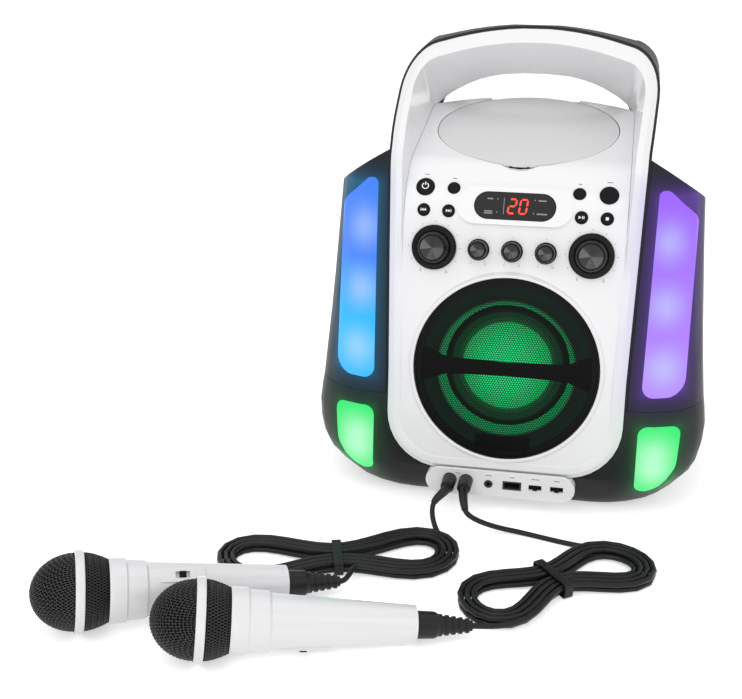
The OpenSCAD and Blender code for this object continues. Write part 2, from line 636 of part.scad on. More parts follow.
module laser_sled() color([0.16, 0.17, 0.2]) on_deck() {
    difference() {
        union() {
            translate([-12, -36, -27.5]) cube([24, 22, 8.5]);
            translate([-21, -34, -27]) cube([42, 18, 4.2]);
            translate([rack_face - 1.4, -48, gear_z]) cube([1.4, 47, gear_height]);
            translate([0, -24, -20]) cylinder(r = 4.5, h = 5.4);
        }
        for (s = [-1, 1]) translate([s * rail_x, -50, rail_z]) rotate([-90, 0, 0])
            cylinder(r = rail_radius + 0.05, h = 60);
    }
    pitch = PI * gear_pitch * 2 / gear_teeth;
    for (i = [-2 : 12]) translate([rack_face, gear_y + i * pitch, gear_z]) linear_extrude(gear_height)
        polygon([[-fine, -0.95], [0, -0.95], [1, -0.6], [1.8, -0.35], [1.8, 0.35], [1, 0.6], [0, 0.95], [-fine, 0.95]]);
}
module sled_gear() color([0.9, 0.9, 0.86]) on_deck() translate([gear_x, gear_y, gear_z]) {
    step = 360 / gear_teeth;
    linear_extrude(gear_height) polygon([for (k = [0 : gear_teeth - 1])
        let (a = (k + 0.5) * step)
        each [for (q = [[-6.9, 1.15], [-4, 0], [-2.1, -0.8], [2.1, -0.8], [4, 0], [6.9, 1.15]])
            let (r = gear_pitch - q[1]) [r * cos(a + q[0]), r * sin(a + q[0])]]]);
    translate([0, 0, -9]) cylinder(r = motor_shaft, h = 9.5);
}
module motor(radius, height, shaft_hole) {
    difference() {
        cylinder(r = radius, h = height);
        translate([0, 0, height - shaft_hole]) cylinder(r = motor_shaft + shaft_gap, h = shaft_hole + 1);
    }
}
module disc_motors() color("silver") on_deck() {
    translate([0, 0, chassis_z + chassis_thickness]) motor(11, 7, 6.5);
    translate([gear_x, gear_y, chassis_z - 12]) motor(8, 12, 8);
}

// ---- speaker, along the panel's normal ----
spigot = 2.2;
mesh_radius = grille_radius - 1.9;
mesh_seat = 0.5;
surround_outer = cone_radius + 10;
dome_radius = cone_radius - 4;
magnet_radius = 34;
coil_radius = 12.5;
coil_wall = 0.6;
module at_speaker() on_panel(0, speaker_height) children();
module grille_frame() color(trim_black) at_speaker() {
    rotate_extrude() polygon([[opening_radius - spigot, -panel_thickness], [opening_radius - 0.2, -panel_thickness],
        [opening_radius - 0.2, 0], [grille_radius, 0], [grille_radius, 0.8], [grille_radius - 0.7, 1.6],
        [mesh_radius + 0.1, 1.6], [mesh_radius + 0.1, mesh_seat], [opening_radius - spigot, mesh_seat]]);
    intersection() {
        translate([0, 0, -panel_thickness]) cylinder(r = opening_radius - spigot + 0.2, h = 1.6);
        translate([0, 0, -panel_thickness]) linear_extrude(1.6) {
            polygon([[-71, -16], [-48, -7], [0, -5.5], [48, -7], [71, -16],
                     [71, 16], [48, 7], [0, 5.5], [-48, 7], [-71, 16]]);
            translate([-22, -72]) square([44, 16]);
        }
    }
}
module grille_mesh() color([0.1, 0.1, 0.1]) at_speaker()
    translate([0, 0, mesh_seat]) cylinder(r = mesh_radius, h = 0.6);
flange_top = 69.5;
flange_foot = 76;
module speaker_frame() color([0.2, 0.2, 0.21]) at_speaker() difference() {
    rotate_extrude()
        polygon([[surround_outer - 3, -16.5], [31, -33], [coil_radius + 2, -33], [coil_radius + 2, -35],
                 [33, -35], [surround_outer + 2, -18], [surround_outer + 4, -5], [screw_circle + 5, -5],
                 [screw_circle + 5, -panel_thickness - 0.05], [surround_outer + 2, -panel_thickness - 0.05],
                 [surround_outer + 0.2, -14.5], [surround_outer - 3, -14.5]]);
    translate([-100, flange_top, -8]) cube([200, 30, 10]);
    translate([-100, -flange_foot - 30, -8]) cube([200, 30, 10]);
    for (a = [45 : 90 : 315]) rotate(a) translate([screw_circle, 0, -8]) cylinder(r = screw_radius + 0.15, h = 8);
}
module speaker_magnet() color([0.12, 0.12, 0.13]) at_speaker() {
    rotate_extrude() polygon([[0, -50], [magnet_radius, -50], [magnet_radius, -35], [coil_radius + 1.2, -35],
        [coil_radius + 1.2, -45], [coil_radius - 1.4, -45], [coil_radius - 1.4, -33], [0, -33]]);
}
module speaker_surround() color([0.07, 0.07, 0.07]) at_speaker() rotate_extrude() {
    mid = (surround_outer + cone_radius) / 2;
    half = (surround_outer - cone_radius) / 2 - 1;
    arch = [for (i = [0 : 8]) let (a = 180 - 22.5 * i) [cos(a), sin(a)]];
    polygon(concat([[cone_radius + 0.4, -14.5]], [for (q = arch) [mid + half * q[0], -13.7 + 2.6 * q[1]]],
        [[surround_outer, -14.5], [mid + half - 1, -14.5]],
        [for (i = [8 : -1 : 0]) let (q = arch[i]) [mid + (half - 0.9) * q[0], -14.5 + 2.6 * q[1]]]));
}
module speaker_cone() color([0.15, 0.75, 0.4]) at_speaker() {
    steps = 8;
    lip = [[cone_radius, -13.6], [dome_radius + 0.5, -13.6]];
    dome = [for (i = [steps : -1 : 0]) let (r = dome_radius * i / steps) [r, -14 + 8 * (1 - pow(i / steps, 2))]];
    under = [for (i = [0 : steps]) let (r = (dome_radius - 1) * i / steps)
        [r, -15.2 + 8 * (1 - pow(i / steps, 2))]];
    rotate_extrude() polygon(concat(lip, dome, under,
        [[coil_radius, -29.5], [coil_radius, -38], [coil_radius + coil_wall, -38], [coil_radius + coil_wall, -30.5],
         [dome_radius + 0.5, -16.4], [cone_radius, -14.6]]));
}

// ---- controls ----
pot_depth = 12;
pot_radius = 8;
module big_knob(side) color(trim_black) on_panel(side * big_knob_x, knob_height) {
    r = big_knob_radius;
    h = big_knob_length;
    rotate_extrude() polygon([[0, 0.6], [r, 0.6], [r, 3.2], [r - 1, 4.3], [r - 4, 4.5], [r - 5.4, h - 4.6],
        [r - 6.6, h - 1.4], [r - 7.2, h - 0.4], [r - 8, h], [0, h]]);
    translate([-0.6, r - 3.6, 3.6]) cube([1.2, 3.2, 1]);
    translate([0, 0, -panel_thickness - pot_depth + 2]) cylinder(r = shaft_radius, h = pot_depth + 2);
}
module small_knob(i) color(trim_black) on_panel(i * small_knob_step, knob_height) {
    r = small_knob_radius;
    h = small_knob_length;
    difference() {
        rotate_extrude() polygon([[0, 0.6], [r, 0.6], [r, 2.4], [r - 0.8, 3.2], [r - 1.4, h - 1.6],
            [r - 2, h - 0.4], [r - 2.8, h], [0, h]]);
        translate([-0.5, r - 4.6, h - 1]) cube([1, 6, 2]);
    }
    translate([0, 0, -panel_thickness - pot_depth + 2]) cylinder(r = shaft_radius, h = pot_depth + 2);
}
stem_end = 9;
module button(x, z, r) color(trim_black) on_panel(x, z) {
    translate([0, 0, -4.2]) cylinder(r = r, h = 5);
    translate([0, 0, 0.8 - fine]) cylinder(r1 = r, r2 = r - 1, h = 0.8);
    translate([0, 0, -5.2]) cylinder(r = r + 1.2, h = 1);
    translate([0, 0, -stem_end]) cylinder(r = 1.6, h = 4);
}
module display_window() color([0.1, 0.02, 0.03]) on_panel(0, display_z)
    translate([0, 0, -panel_thickness]) linear_extrude(panel_thickness + bezel_rise - 0.3)
        pill(display_length, display_height);
module display_module() color([0.12, 0.12, 0.13]) on_panel(0, display_z)
    translate([-28, -8, -8.6]) cube([56, 16, 5.6]);
module control_board() color(board_green) {
    on_panel(0, knob_height) translate([-84, -13, -panel_thickness - pot_depth - 1.6]) cube([168, 46, 1.6]);
    translate([0, -56.56, 243.45]) rotate([60.1, 0, 0]) translate([-82, -9, -1.6]) cube([164, 22, 1.6]);
    knob_places() difference() {
        translate([0, 0, -panel_thickness - pot_depth - fine]) {
            cylinder(r = pot_radius, h = pot_depth - 2);
            cylinder(r = 4.6, h = pot_depth + fine);
        }
        translate([0, 0, 1.4 - panel_thickness - pot_depth]) cylinder(r = shaft_radius + 0.05, h = pot_depth + 2);
    }
    button_places() {
        translate([0, 0, -15]) cylinder(r = 2.6, h = 15 - stem_end - button_travel - 0.3);
        translate([0, 0, -15]) cylinder(r = 2.6, h = 15 - stem_end - button_travel - 0.3);
    }
    on_panel(0, display_z) for (x = [-20, 14]) translate([x, -5, -14]) cube([6, 8, 14 - 8.6]);
}
module main_board() color(board_green) {
    floor_z = foot_height + wall;
    translate([-70, -55, floor_z + 6]) cube([140, 130, 1.6]);
    for (x = [-62, 62], y = [-47, 67]) translate([x, y, floor_z]) cylinder(r = 3, h = 6 + fine);
    translate([-50, 20, floor_z + 7]) cube([34, 30, 24]);
    for (x = [10, 30]) translate([x, 40, floor_z + 7]) cylinder(r = 7, h = 22);
    translate([-10, -30, floor_z + 7]) cube([22, 22, 3]);
    translate([42, -40, floor_z + 7]) cube([8, 60, 18]);
}

// ---- sockets ----
plate_front = -109;
plate_face = 2.4;
mic_x = -34;
mic_z = 26.5;
jack_bore = 3.22;
aux_x = -9.1;
usb_x = 10;
function_x = 28.7;
light_x = 46;
board_y = -86;
module socket_plate() color(turned_white) difference() {
    intersection() {
        translate([0, plate_front, socket_height]) rotate([-90, 0, 0]) linear_extrude(30)
            pill(plate_length, plate_height);
        along_x(150) polygon([[plate_front, 5], [plate_front, 40], [-106.2, 40], [-106.2, 32.7],
                              [-100.5, 32.6], [-94.9, 20], [-90, 11.5], [-89, 5]]);
    }
    translate([0, plate_front + plate_face, socket_height]) rotate([-90, 0, 0]) linear_extrude(30)
        pill(plate_length - 4.8, plate_height - 4.8);
    for (s = [-1, 1]) translate([mic_x + s * mic_socket_step / 2, plate_front - 1, mic_z])
        rotate([-90, 0, 0]) cylinder(r = 5.6, h = 10);
    translate([aux_x, plate_front - 1, socket_height]) rotate([-90, 0, 0]) cylinder(r = 3.6, h = 10);
    translate([usb_x - 7.6, plate_front - 1, socket_height - 3.9]) cube([15.2, 10, 7.8]);
    for (x = [function_x, light_x]) translate([x - 5.2, plate_front - 1, socket_height - 2.3])
        cube([10.4, 10, 4.6]);
}
module sockets() color([0.16, 0.16, 0.17]) {
    translate([-52, board_y, socket_height - 7.2]) cube([104, 1.6, 14.4]);
    for (s = [-1, 1]) translate([mic_x + s * mic_socket_step / 2, 0, mic_z]) difference() {
        union() {
            translate([0, plate_front - 1.2, 0]) rotate([-90, 0, 0]) cylinder(r = 5.4, h = 6);
            translate([-5.6, plate_front + plate_face + 0.2, -7]) cube([11.2, board_y + 106.4 + fine, 12]);
        }
        translate([0, plate_front - 2, 0]) rotate([-90, 0, 0]) cylinder(r = jack_bore, h = 19);
    }
    difference() {
        union() {
            translate([aux_x, plate_front, socket_height]) rotate([-90, 0, 0]) cylinder(r = 3.4, h = 6);
            translate([aux_x - 4, plate_front + plate_face + 0.2, socket_height - 4])
                cube([8, board_y + 106.4 + fine, 8]);
        }
        translate([aux_x, plate_front - 1, socket_height]) rotate([-90, 0, 0]) cylinder(r = aux_bore, h = 16);
    }
    difference() {
        translate([usb_x - 7.2, plate_front + 0.2, socket_height - 3.5]) cube([14.4, 22.8 + fine, 7]);
        translate([usb_x - 6.25, plate_front - 1, socket_height - 2.55]) cube([12.5, 15, 5.1]);
    }
    translate([usb_x - 5.5, plate_front + 6, socket_height]) cube([11, 9, 1.8]);
    for (x = [function_x, light_x]) translate([x - 6.5, -105, socket_height - 4.5])
        cube([13, board_y + 105 + fine, 9]);
    translate([power_x, 0, power_z]) difference() {
        translate([0, back_depth - 14, 0]) rotate([-90, 0, 0]) cylinder(r = power_radius, h = 14.3);
        translate([0, back_depth - 10, 0]) rotate([-90, 0, 0]) cylinder(r = 2.9, h = 12);
    }
    translate([power_x, back_depth - 11, power_z]) rotate([-90, 0, 0]) cylinder(r = 1, h = 10);
}
module slide_switch(x) color(trim_black) {
    translate([x - 1.8, plate_front - 1.3, socket_height - 1.9]) cube([3.6, 4.2, 3.8]);
    translate([x - 5, plate_front + plate_face + 0.15, socket_height - 3.2]) cube([10, 1.2, 6.4]);
}

// ---- microphones, head to tail along +X ----
tilt = atan((ring_radius - tail_radius) / mic_length);
front_mic = [-174.7, -349.7, 18.32, 150];
rear_mic = [-267.6, -332.8, 25.64, 30];
collar_start = 20;
body_start = 47;
body_taper = (mic_radius - tail_radius) / (mic_length - body_start);
switch_s = 70;
function mic_r(s) = mic_radius - (s - body_start) * body_taper;
module mic_place(m) translate([m[0], m[1], ring_radius * cos(tilt)]) rotate([0, 0, m[2]])
    rotate([0, tilt, 0]) children();
module both_mics() {
    mic_place(front_mic) rotate([front_mic[3], 0, 0]) children();
    mic_place(rear_mic) rotate([rear_mic[3], 0, 0]) children();
}
module turned(p) rotate([0, 90, 0]) rotate_extrude() polygon(p);
module mic_bodies() color(turned_white) both_mics() {
    difference() {
        union() {
            turned([[0, collar_start], [22.2, collar_start], [22.8, collar_start + 1.4], [22.4, 31.4], [21.2, 32.6],
                    [20.4, 45.4], [mic_radius, body_start], [tail_radius, mic_length], [0, mic_length]]);
            translate([switch_s - 15.5, -5.6, 0]) cube([31, 11.2, mic_r(switch_s) + 0.9]);
        }
        turned([[0, collar_start + 3], [18.6, collar_start + 3], [17, body_start],
                [tail_radius - 2.2, mic_length - 3], [0, mic_length - 3]]);
        turned([[0, collar_start - 1], [14, collar_start - 1], [14, collar_start + 4], [0, collar_start + 4]]);
        turned([[0, mic_length - 4], [3, mic_length - 4], [3, mic_length + 1], [0, mic_length + 1]]);
        translate([switch_s - 5, -2.5, mic_r(switch_s) - 1.2]) cube([10, 5, 4]);
        translate([switch_s - 2, -1.5, 8]) cube([4, 3, 20]);
    }
}
head_length = 1.16 * head_radius;
module mic_grilles() color([0.08, 0.08, 0.08]) both_mics() {
    arc = [for (i = [0 : 12]) [head_radius * sin(7.5 * i), -2 - head_length * cos(7.5 * i)]];
    inner = head_radius - 1.2;
    back = [for (i = [12 : -1 : 0]) [inner * sin(7.5 * i), -2 - (head_length - 1.2) * cos(7.5 * i)]];
    turned(concat(arc, [[head_radius, 4], [25.2, 13], [21.8, collar_start], [20.4, collar_start], [23.9, 12.6],
                        [inner, 3.8]], back));
}
module mic_rings() color(turned_white) both_mics()
    turned([[head_radius + 0.05, -3.2], [ring_radius - 0.5, -3.2], [ring_radius, -2.2], [ring_radius, 2.2],
            [ring_radius - 0.5, 3.2], [head_radius + 0.05, 3.2]]);
module mic_capsules() color([0.3, 0.3, 0.32]) both_mics()
    turned([[0, -14], [14, -14], [15, -12.5], [15, -1], [13.9, 2], [13.9, collar_start + 3], [0, collar_start + 3]]);
module mic_reliefs() color(trim_black) both_mics() {
    ribs = [for (i = [0 : 4]) each [[7.7 - i * 0.65, mic_length + 16 + i * 4.8], [7.7 - i * 0.65, mic_length + 18.4 + i * 4.8],
                                     [6.3 - i * 0.65, mic_length + 18.4 + i * 4.8], [6.3 - i * 0.65, mic_length + 20.8 + i * 4.8]]];
    turned(concat([[0, mic_length], [9.6, mic_length], [9.2, mic_length + 13], [8.4, mic_length + 15]], ribs,
                  [[3.1, mic_length + relief_length], [0, mic_length + relief_length]]));
}
module mic_switch(m) color(trim_black) mic_place(m) rotate([m[3], 0, 0]) {
    translate([switch_s - 2.4, -2.2, mic_r(switch_s) - 0.9]) cube([4.8, 4.4, 3]);
}

// ---- cords ----
cord_r = cord_diameter / 2;
cord_sides = 8;
hank_sides = 6;
function tangent(p, i, from, to) = i == 0 && from != undef ? from : i == len(p) - 1 && to != undef ? to
    : unit(p[min(i + 1, len(p) - 1)] - p[max(i - 1, 0)]);
function radius_at(r, i) = is_list(r) ? r[i] : r;
// A tube through a list of points, never straight up or down. from and to are its end faces' directions
module tube(p, r, k, from = undef, to = undef) {
    n = len(p);
    polyhedron(points = [for (i = [0 : n - 1])
        let (t = tangent(p, i, from, to), s = unit(cross(t, [0, 0, 1])), u = cross(s, t))
        each [for (j = [0 : k - 1]) let (a = 360 * (j + 0.5) / k)
            p[i] + radius_at(r, i) * (cos(a) * s + sin(a) * u)]],
        faces = concat([[for (j = [k - 1 : -1 : 0]) j]], [[for (j = [0 : k - 1]) (n - 1) * k + j]],
            [for (i = [0 : n - 2], j = [0 : k - 1]) let (l = (j + 1) % k)
                each [[i * k + j, i * k + l, (i + 1) * k + l], [i * k + j, (i + 1) * k + l, (i + 1) * k + j]]]),
        convexity = 10);
}
function hermite(p, a, q, b, n) = [for (i = [0 : n]) let (t = i / n)
    (2 * t * t * t - 3 * t * t + 1) * p + (t * t * t - 2 * t * t + t) * a
    + (3 * t * t - 2 * t * t * t) * q + (t * t * t - t * t) * b];
function but_first(p) = [for (i = [1 : len(p) - 1]) p[i]];

// Each hank: tie centre x and y, heading, half length, bend, first angle, turns
hank_a = [-111, -215, 16, 92, 0.00117, 16, 6.255];
hank_b = [51, -214, 38.5, 80, -0.0014, 32, 6.45];
// The innermost loop's width factors at the lobes and the waist, and the steps out and up
lobe_width = 36;
waist_width = 0.6;
loop_step = 4.85;
layer_step = 4.8;
tie_lift = 1.6;
function ease(t) = t < 0 ? 0 : t > 1 ? 1 : t * t * (3 - 2 * t);
function hank_middle(h) = 3 + h[5] / 360;
function core(h, u) =
    let (w = pow(abs(sin(u)), 3), x = (h[3] - loop_step * hank_middle(h)) * cos(u))
    [x, sin(u) * (lobe_width * (1 - w) + waist_width * w) + h[4] * x * x];
function hank_point(h, t) =
    let (u = h[5] - 360 * t, mid = hank_middle(h), w = pow(abs(sin(u)), 3))
    let (g = core(h, u + 0.5) - core(h, u - 0.5))
    let (q = core(h, u) + loop_step * abs(t - mid) * [g[1], -g[0]] / norm(g))
    [h[0] + q[0] * cos(h[2]) - q[1] * sin(h[2]), h[1] + q[0] * sin(h[2]) + q[1] * cos(h[2]),
     cord_r + tie_lift * w + layer_step * ease((t - mid + 0.2) / 0.4)];
function hank_path(h) = let (n = round(h[6] * 24)) [for (i = [0 : n]) hank_point(h, h[6] * i / n)];
function hank_slope(h, t) = unit(hank_point(h, t + 0.002) - hank_point(h, t - 0.002));
// Least gap between loops, measured on points a sixtieth of a turn apart that are over a third of a turn apart
function least_gap(h) = let (n = round(h[6] * 60), p = [for (i = [0 : n]) hank_point(h, h[6] * i / n)])
    min([for (i = [0 : n - 21], j = [i + 20 : n]) norm(p[i] - p[j])]) - cord_diameter;
echo(hank_left_least_gap = least_gap(hank_a), hank_right_least_gap = least_gap(hank_b));
function mic_point(m, s) = [m[0] + s * cos(tilt) * cos(m[2]), m[1] + s * cos(tilt) * sin(m[2]),
                            ring_radius * cos(tilt) - s * sin(tilt)];
plug_end = plate_front - 17;
plug_a = [mic_x - mic_socket_step / 2, plug_end, mic_z];
plug_b = [mic_x + mic_socket_step / 2, plug_end, mic_z];
relief_a = hermite(plug_a, [0, -12, -1], [-49, -139, 19.5], [-4, -10, -9], 8);
relief_b = hermite(plug_b, [0, -14, -1], [-23.5, -142, 17], [5, -10, -9], 8);
relief_a_end = unit([-4, -10, -9]);
relief_b_end = unit([5, -10, -9]);
module plug(p, relief, end) {
    translate([p[0], plate_front, p[2]]) rotate([90, 0, 0]) rotate_extrude() polygon(
        [[0, -15], [1.6, -15], [2.9, -12.6], [2.3, -11.2], [3.17, -10.4], [3.17, 1.2], [5.4, 1.25], [5.6, 2.4],
         [5.6, 9], [4.9, 9.6], [5.5, 10.4], [5.5, 15], [4.4, 17], [0, 17]]);
    tube(concat([relief[0] + [0, 2, 0]], relief), [4, 4, 3.9, 3.8, 3.7, 3.5, 3.3, 3.1, 2.9, 2.7], 10, [0, -1, 0], end);
}
module mic_plugs() color(trim_black) {
    plug(plug_a, relief_a, relief_a_end);
    plug(plug_b, relief_b, relief_b_end);
}
module cord_left() color(trim_black) {
    end = hank_point(hank_a, 0);
    slope = hank_slope(hank_a, 0);
    tube(hermite(relief_a[8] + relief_a_end * fine, relief_a_end * 30, end - slope * fine, slope * 34, 18),
        cord_r, cord_sides, relief_a_end, slope);
}
module cord_right() color(trim_black) {
    end = hank_point(hank_b, 0);
    slope = hank_slope(hank_b, 0);
    mid = [12, -143, 3.4];
    tube(concat(hermite(relief_b[8] + relief_b_end * fine, relief_b_end * 26, mid, [30, 3, -5], 8),
        but_first(hermite(mid, [60, 6, -10], end - slope * fine, slope * 60, 14))), cord_r, cord_sides,
        relief_b_end, slope);
}
module lead(h, m, reach) color(trim_black) {
    start = hank_point(h, h[6]);
    slope = hank_slope(h, h[6]);
    end = mic_point(m, mic_length + relief_length);
    back = unit(mic_point(m, mic_length) - end);
    gap = norm(end - start);
    tube(hermite(start + slope * fine, slope * gap * reach, end + back * -0.02, back * gap * 0.9, 16), cord_r,
        cord_sides, slope, back);
}
module lead_left() lead(hank_a, rear_mic, 0.8);
module lead_right() lead(hank_b, front_mic, 1.5);
module hank(h) color(trim_black)
    tube(hank_path(h), cord_r, hank_sides, hank_slope(h, 0), hank_slope(h, h[6]));
module hank_left() hank(hank_a);
module hank_right() hank(hank_b);
tie_width = 7;
tie_wall = 1.2;
module tie(h, steps) {
    inner_half = waist_width + loop_step * steps + cord_r + 0.3;
    height = tie_lift + layer_step + cord_diameter + tie_wall + 0.3;
    translate([h[0], h[1], 0]) rotate([0, 0, h[2]]) translate([-tie_width / 2, 0, 0]) rotate([90, 0, 90])
        linear_extrude(tie_width) difference() {
            polygon(rounded([[-inner_half - tie_wall, 0, 3], [inner_half + tie_wall, 0, 3],
                             [inner_half + tie_wall, height, 3], [-inner_half - tie_wall, height, 3]], 4));
            polygon(rounded([[-inner_half, tie_wall, 1.8], [inner_half, tie_wall, 1.8],
                             [inner_half, height - tie_wall, 1.8], [-inner_half, height - tie_wall, 1.8]], 4));
        }
}
module cord_ties() color(trim_black) {
    tie(hank_a, 2.95);
    tie(hank_b, 3.45);
}

// ---- every node ----
lower_shell();
rear_shell();
front_shell();
control_panel();
socket_plate();
side_cover(-1);  // side_cover_left
side_cover(1);  // side_cover_right
light_lenses();
corner_lenses();
light_boards();
cd_well();
cd_lid();
mechanism_chassis();
turntable();
laser_sled();
sled_gear();
disc_motors();
display_window();
display_module();
control_board();
main_board();
sockets();
grille_frame();
grille_mesh();
speaker_frame();
speaker_magnet();
speaker_surround();
speaker_cone();
feet();
case_screws();
button(-71.5, upper_row_height, big_button_radius);  // power_button
button(-48.9, upper_row_height, small_button_radius);  // repeat_button
button(-71.2, lower_row_height, small_button_radius);  // previous_button
button(-51.6, lower_row_height, small_button_radius);  // next_button
button(48.9, upper_row_height, small_button_radius);  // program_button
button(71.5, upper_row_height, big_button_radius);  // light_button
button(51.6, lower_row_height, small_button_radius);  // play_button
button(71.2, lower_row_height, small_button_radius);  // stop_button
big_knob(-1);  // mic_volume_knob
small_knob(-1);  // echo_knob
small_knob(0);  // talk_over_knob
small_knob(1);  // balance_knob
big_knob(1);  // master_volume_knob
slide_switch(function_x);  // function_switch
slide_switch(light_x);  // light_switch
mic_bodies();
mic_grilles();
mic_rings();
mic_capsules();
mic_reliefs();
mic_switch(rear_mic);  // mic_switch_rear
mic_switch(front_mic);  // mic_switch_front
mic_plugs();
cord_left();
cord_right();
lead_left();
lead_right();
hank_left();
hank_right();
cord_ties();
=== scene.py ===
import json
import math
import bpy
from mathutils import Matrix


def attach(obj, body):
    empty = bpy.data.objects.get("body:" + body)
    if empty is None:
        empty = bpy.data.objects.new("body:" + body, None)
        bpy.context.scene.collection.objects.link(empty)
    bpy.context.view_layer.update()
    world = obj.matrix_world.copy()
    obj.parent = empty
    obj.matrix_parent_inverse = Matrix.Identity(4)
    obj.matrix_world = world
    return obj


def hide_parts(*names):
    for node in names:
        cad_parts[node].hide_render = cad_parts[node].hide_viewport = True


bl_info = {
    "name": "Karaoke machine with disc tray",
    "version": (1, 0, 0),
    "blender": (4, 5, 0),
    "location": "View3D > Sidebar > Karaoke",
    "description": "Dresses the machine's solids: shells, lights, grille, knobs, microphones and cords",
    "category": "Object",
}

import bmesh
import bpy
from mathutils import Matrix, Vector

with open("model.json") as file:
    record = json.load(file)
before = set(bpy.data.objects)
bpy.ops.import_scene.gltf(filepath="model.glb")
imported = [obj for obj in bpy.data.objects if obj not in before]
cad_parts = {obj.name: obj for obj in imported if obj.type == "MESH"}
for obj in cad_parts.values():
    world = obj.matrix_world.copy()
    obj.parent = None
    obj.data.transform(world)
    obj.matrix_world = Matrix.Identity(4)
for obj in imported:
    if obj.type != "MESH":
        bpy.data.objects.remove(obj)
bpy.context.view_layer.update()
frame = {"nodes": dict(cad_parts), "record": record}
NODES = frame["nodes"]
BODY_OF = {n: b for b, ns in frame["record"]["behaviour"]["bodies"].items() for n in ns}
MM = 0.001

# ---- places on the panel, in millimetres, as in the part's source ----
BAFFLE_LEAN, KNOB_LEAN, DECK_SLOPE, BEND_RADIUS = 7.6, 14.0, 10.0, 54.5
CHIN_Y, CHIN_Z, KNOB_START, BEND_START = -106.0, 33.0, 190.0, 236.0
KNOB_Y = CHIN_Y + (KNOB_START - CHIN_Z) * math.tan(math.radians(BAFFLE_LEAN))
BEND_Y0 = KNOB_Y + (BEND_START - KNOB_START) * math.tan(math.radians(KNOB_LEAN))
BEND_Y = BEND_Y0 + BEND_RADIUS * math.cos(math.radians(KNOB_LEAN))
BEND_Z = BEND_START - BEND_RADIUS * math.sin(math.radians(KNOB_LEAN))
DECK_Y = BEND_Y - BEND_RADIUS * math.cos(math.radians(90 - DECK_SLOPE))
DECK_Z = BEND_Z + BEND_RADIUS * math.sin(math.radians(90 - DECK_SLOPE))
SPEAKER_Z, KNOB_Z, UPPER_Z, LOWER_Z, DISPLAY_Z = 120.0, 213.5, 257.7, 241.5, 247.0
LID_Y = 31.0
GRILLE_RADIUS, GRILLE_RIM, GRILLE_LIFT = 71.9, (72.05, 71.2), 0.8
BUTTON_TOP, WINDOW_FACE = 1.6, 0.32
KNOB_PLACES = {"mic_volume_knob": -61.3, "echo_knob": -26.2, "talk_over_knob": 0.0,
               "balance_knob": 26.2, "master_volume_knob": 61.3}

# ---- the camera fitted to the photograph: pixels, millimetres and degrees ----
PHOTO_WIDTH, FOCAL_LENGTH, SENSOR_WIDTH = 742, 1300, 36
CAMERA_YAW, CAMERA_PITCH, CAMERA_PLACE = -11.2467, 21.3114, (81.684, -1053.919, 510.643)

EULER = 2.718
CLEAR = (0, 0, 0, 1)


def panel_lean(z):
    """The panel's lean from the upright in degrees, at a height."""
    if z < KNOB_START:
        return BAFFLE_LEAN
    if z < BEND_START:
        return KNOB_LEAN
    return math.degrees(math.asin((z - BEND_Z) / BEND_RADIUS))


def panel_y(z):
    """The panel's depth at a height."""
    if z < KNOB_START:
        return CHIN_Y + (z - CHIN_Z) * math.tan(math.radians(BAFFLE_LEAN))
    if z < BEND_START:
        return KNOB_Y + (z - KNOB_START) * math.tan(math.radians(KNOB_LEAN))
    return BEND_Y - BEND_RADIUS * math.cos(math.radians(panel_lean(z)))


def on_panel(x, z):
    """Matrix from a place on the panel, in millimetres with +Z pointing out, to the frame in metres."""
    lean = math.radians(90 - panel_lean(z))
    return (Matrix.Translation(Vector((x, panel_y(z), z)) * MM)
            @ Matrix.Rotation(lean, 4, "X") @ Matrix.Scale(MM, 4))


def on_deck():
    """The same for the disc lid's centre on the sloping deck."""
    z = DECK_Z + (LID_Y - DECK_Y) * math.tan(math.radians(DECK_SLOPE))
    return (Matrix.Translation(Vector((0, LID_Y, z)) * MM)
            @ Matrix.Rotation(math.radians(DECK_SLOPE), 4, "X") @ Matrix.Scale(MM, 4))


# ---- microphones and cords, in millimetres, as in the part's source ----
RING_RADIUS, TAIL_RADIUS, MIC_LENGTH, RELIEF_LENGTH = 28.8, 13.2, 146.0, 40.0
TILT = math.atan((RING_RADIUS - TAIL_RADIUS) / MIC_LENGTH)
HEAD_RADIUS = 27.2
HEAD_STRETCH = 1.155
FRONT_MIC = (-174.7, -349.7, 18.32, 150.0)
REAR_MIC = (-267.6, -332.8, 25.64, 30.0)
HANK_A = (-111, -215, 16, 92, 0.00117, 16, 6.255)
HANK_B = (51, -214, 38.5, 80, -0.0014, 32, 6.45)
LOBE_WIDTH, WAIST_WIDTH, LOOP_STEP, LAYER_STEP, TIE_LIFT = 36, 0.6, 4.85, 4.8, 1.6
PLUG_Y, PLUG_Z, PLUG_X = -126.0, 26.5, (-40.7, -27.3)


def mic_place(m):
    """Matrix from a lying microphone's own axes, in millimetres, to the frame in metres."""
    return (Matrix.Translation(Vector((m[0], m[1], RING_RADIUS * math.cos(TILT))) * MM)
            @ Matrix.Rotation(math.radians(m[2]), 4, "Z") @ Matrix.Rotation(TILT, 4, "Y")
            @ Matrix.Rotation(math.radians(m[3]), 4, "X") @ Matrix.Scale(MM, 4))


def mic_point(m, s):
    """A point on a microphone's axis, at a distance from its ring."""
    a = math.radians(m[2])
    return Vector((m[0] + s * math.cos(TILT) * math.cos(a), m[1] + s * math.cos(TILT) * math.sin(a),
                   RING_RADIUS * math.cos(TILT) - s * math.sin(TILT)))


def ease(t):
    t = min(max(t, 0.0), 1.0)
    return t * t * (3 - 2 * t)


def hank_core(h, u):
    """A point of a hank's innermost loop, which its other loops lie around."""
    w = abs(math.sin(u)) ** 3
    x = (h[3] - LOOP_STEP * (3 + h[5] / 360)) * math.cos(u)
    return Vector((x, math.sin(u) * (LOBE_WIDTH * (1 - w) + WAIST_WIDTH * w) + h[4] * x * x))


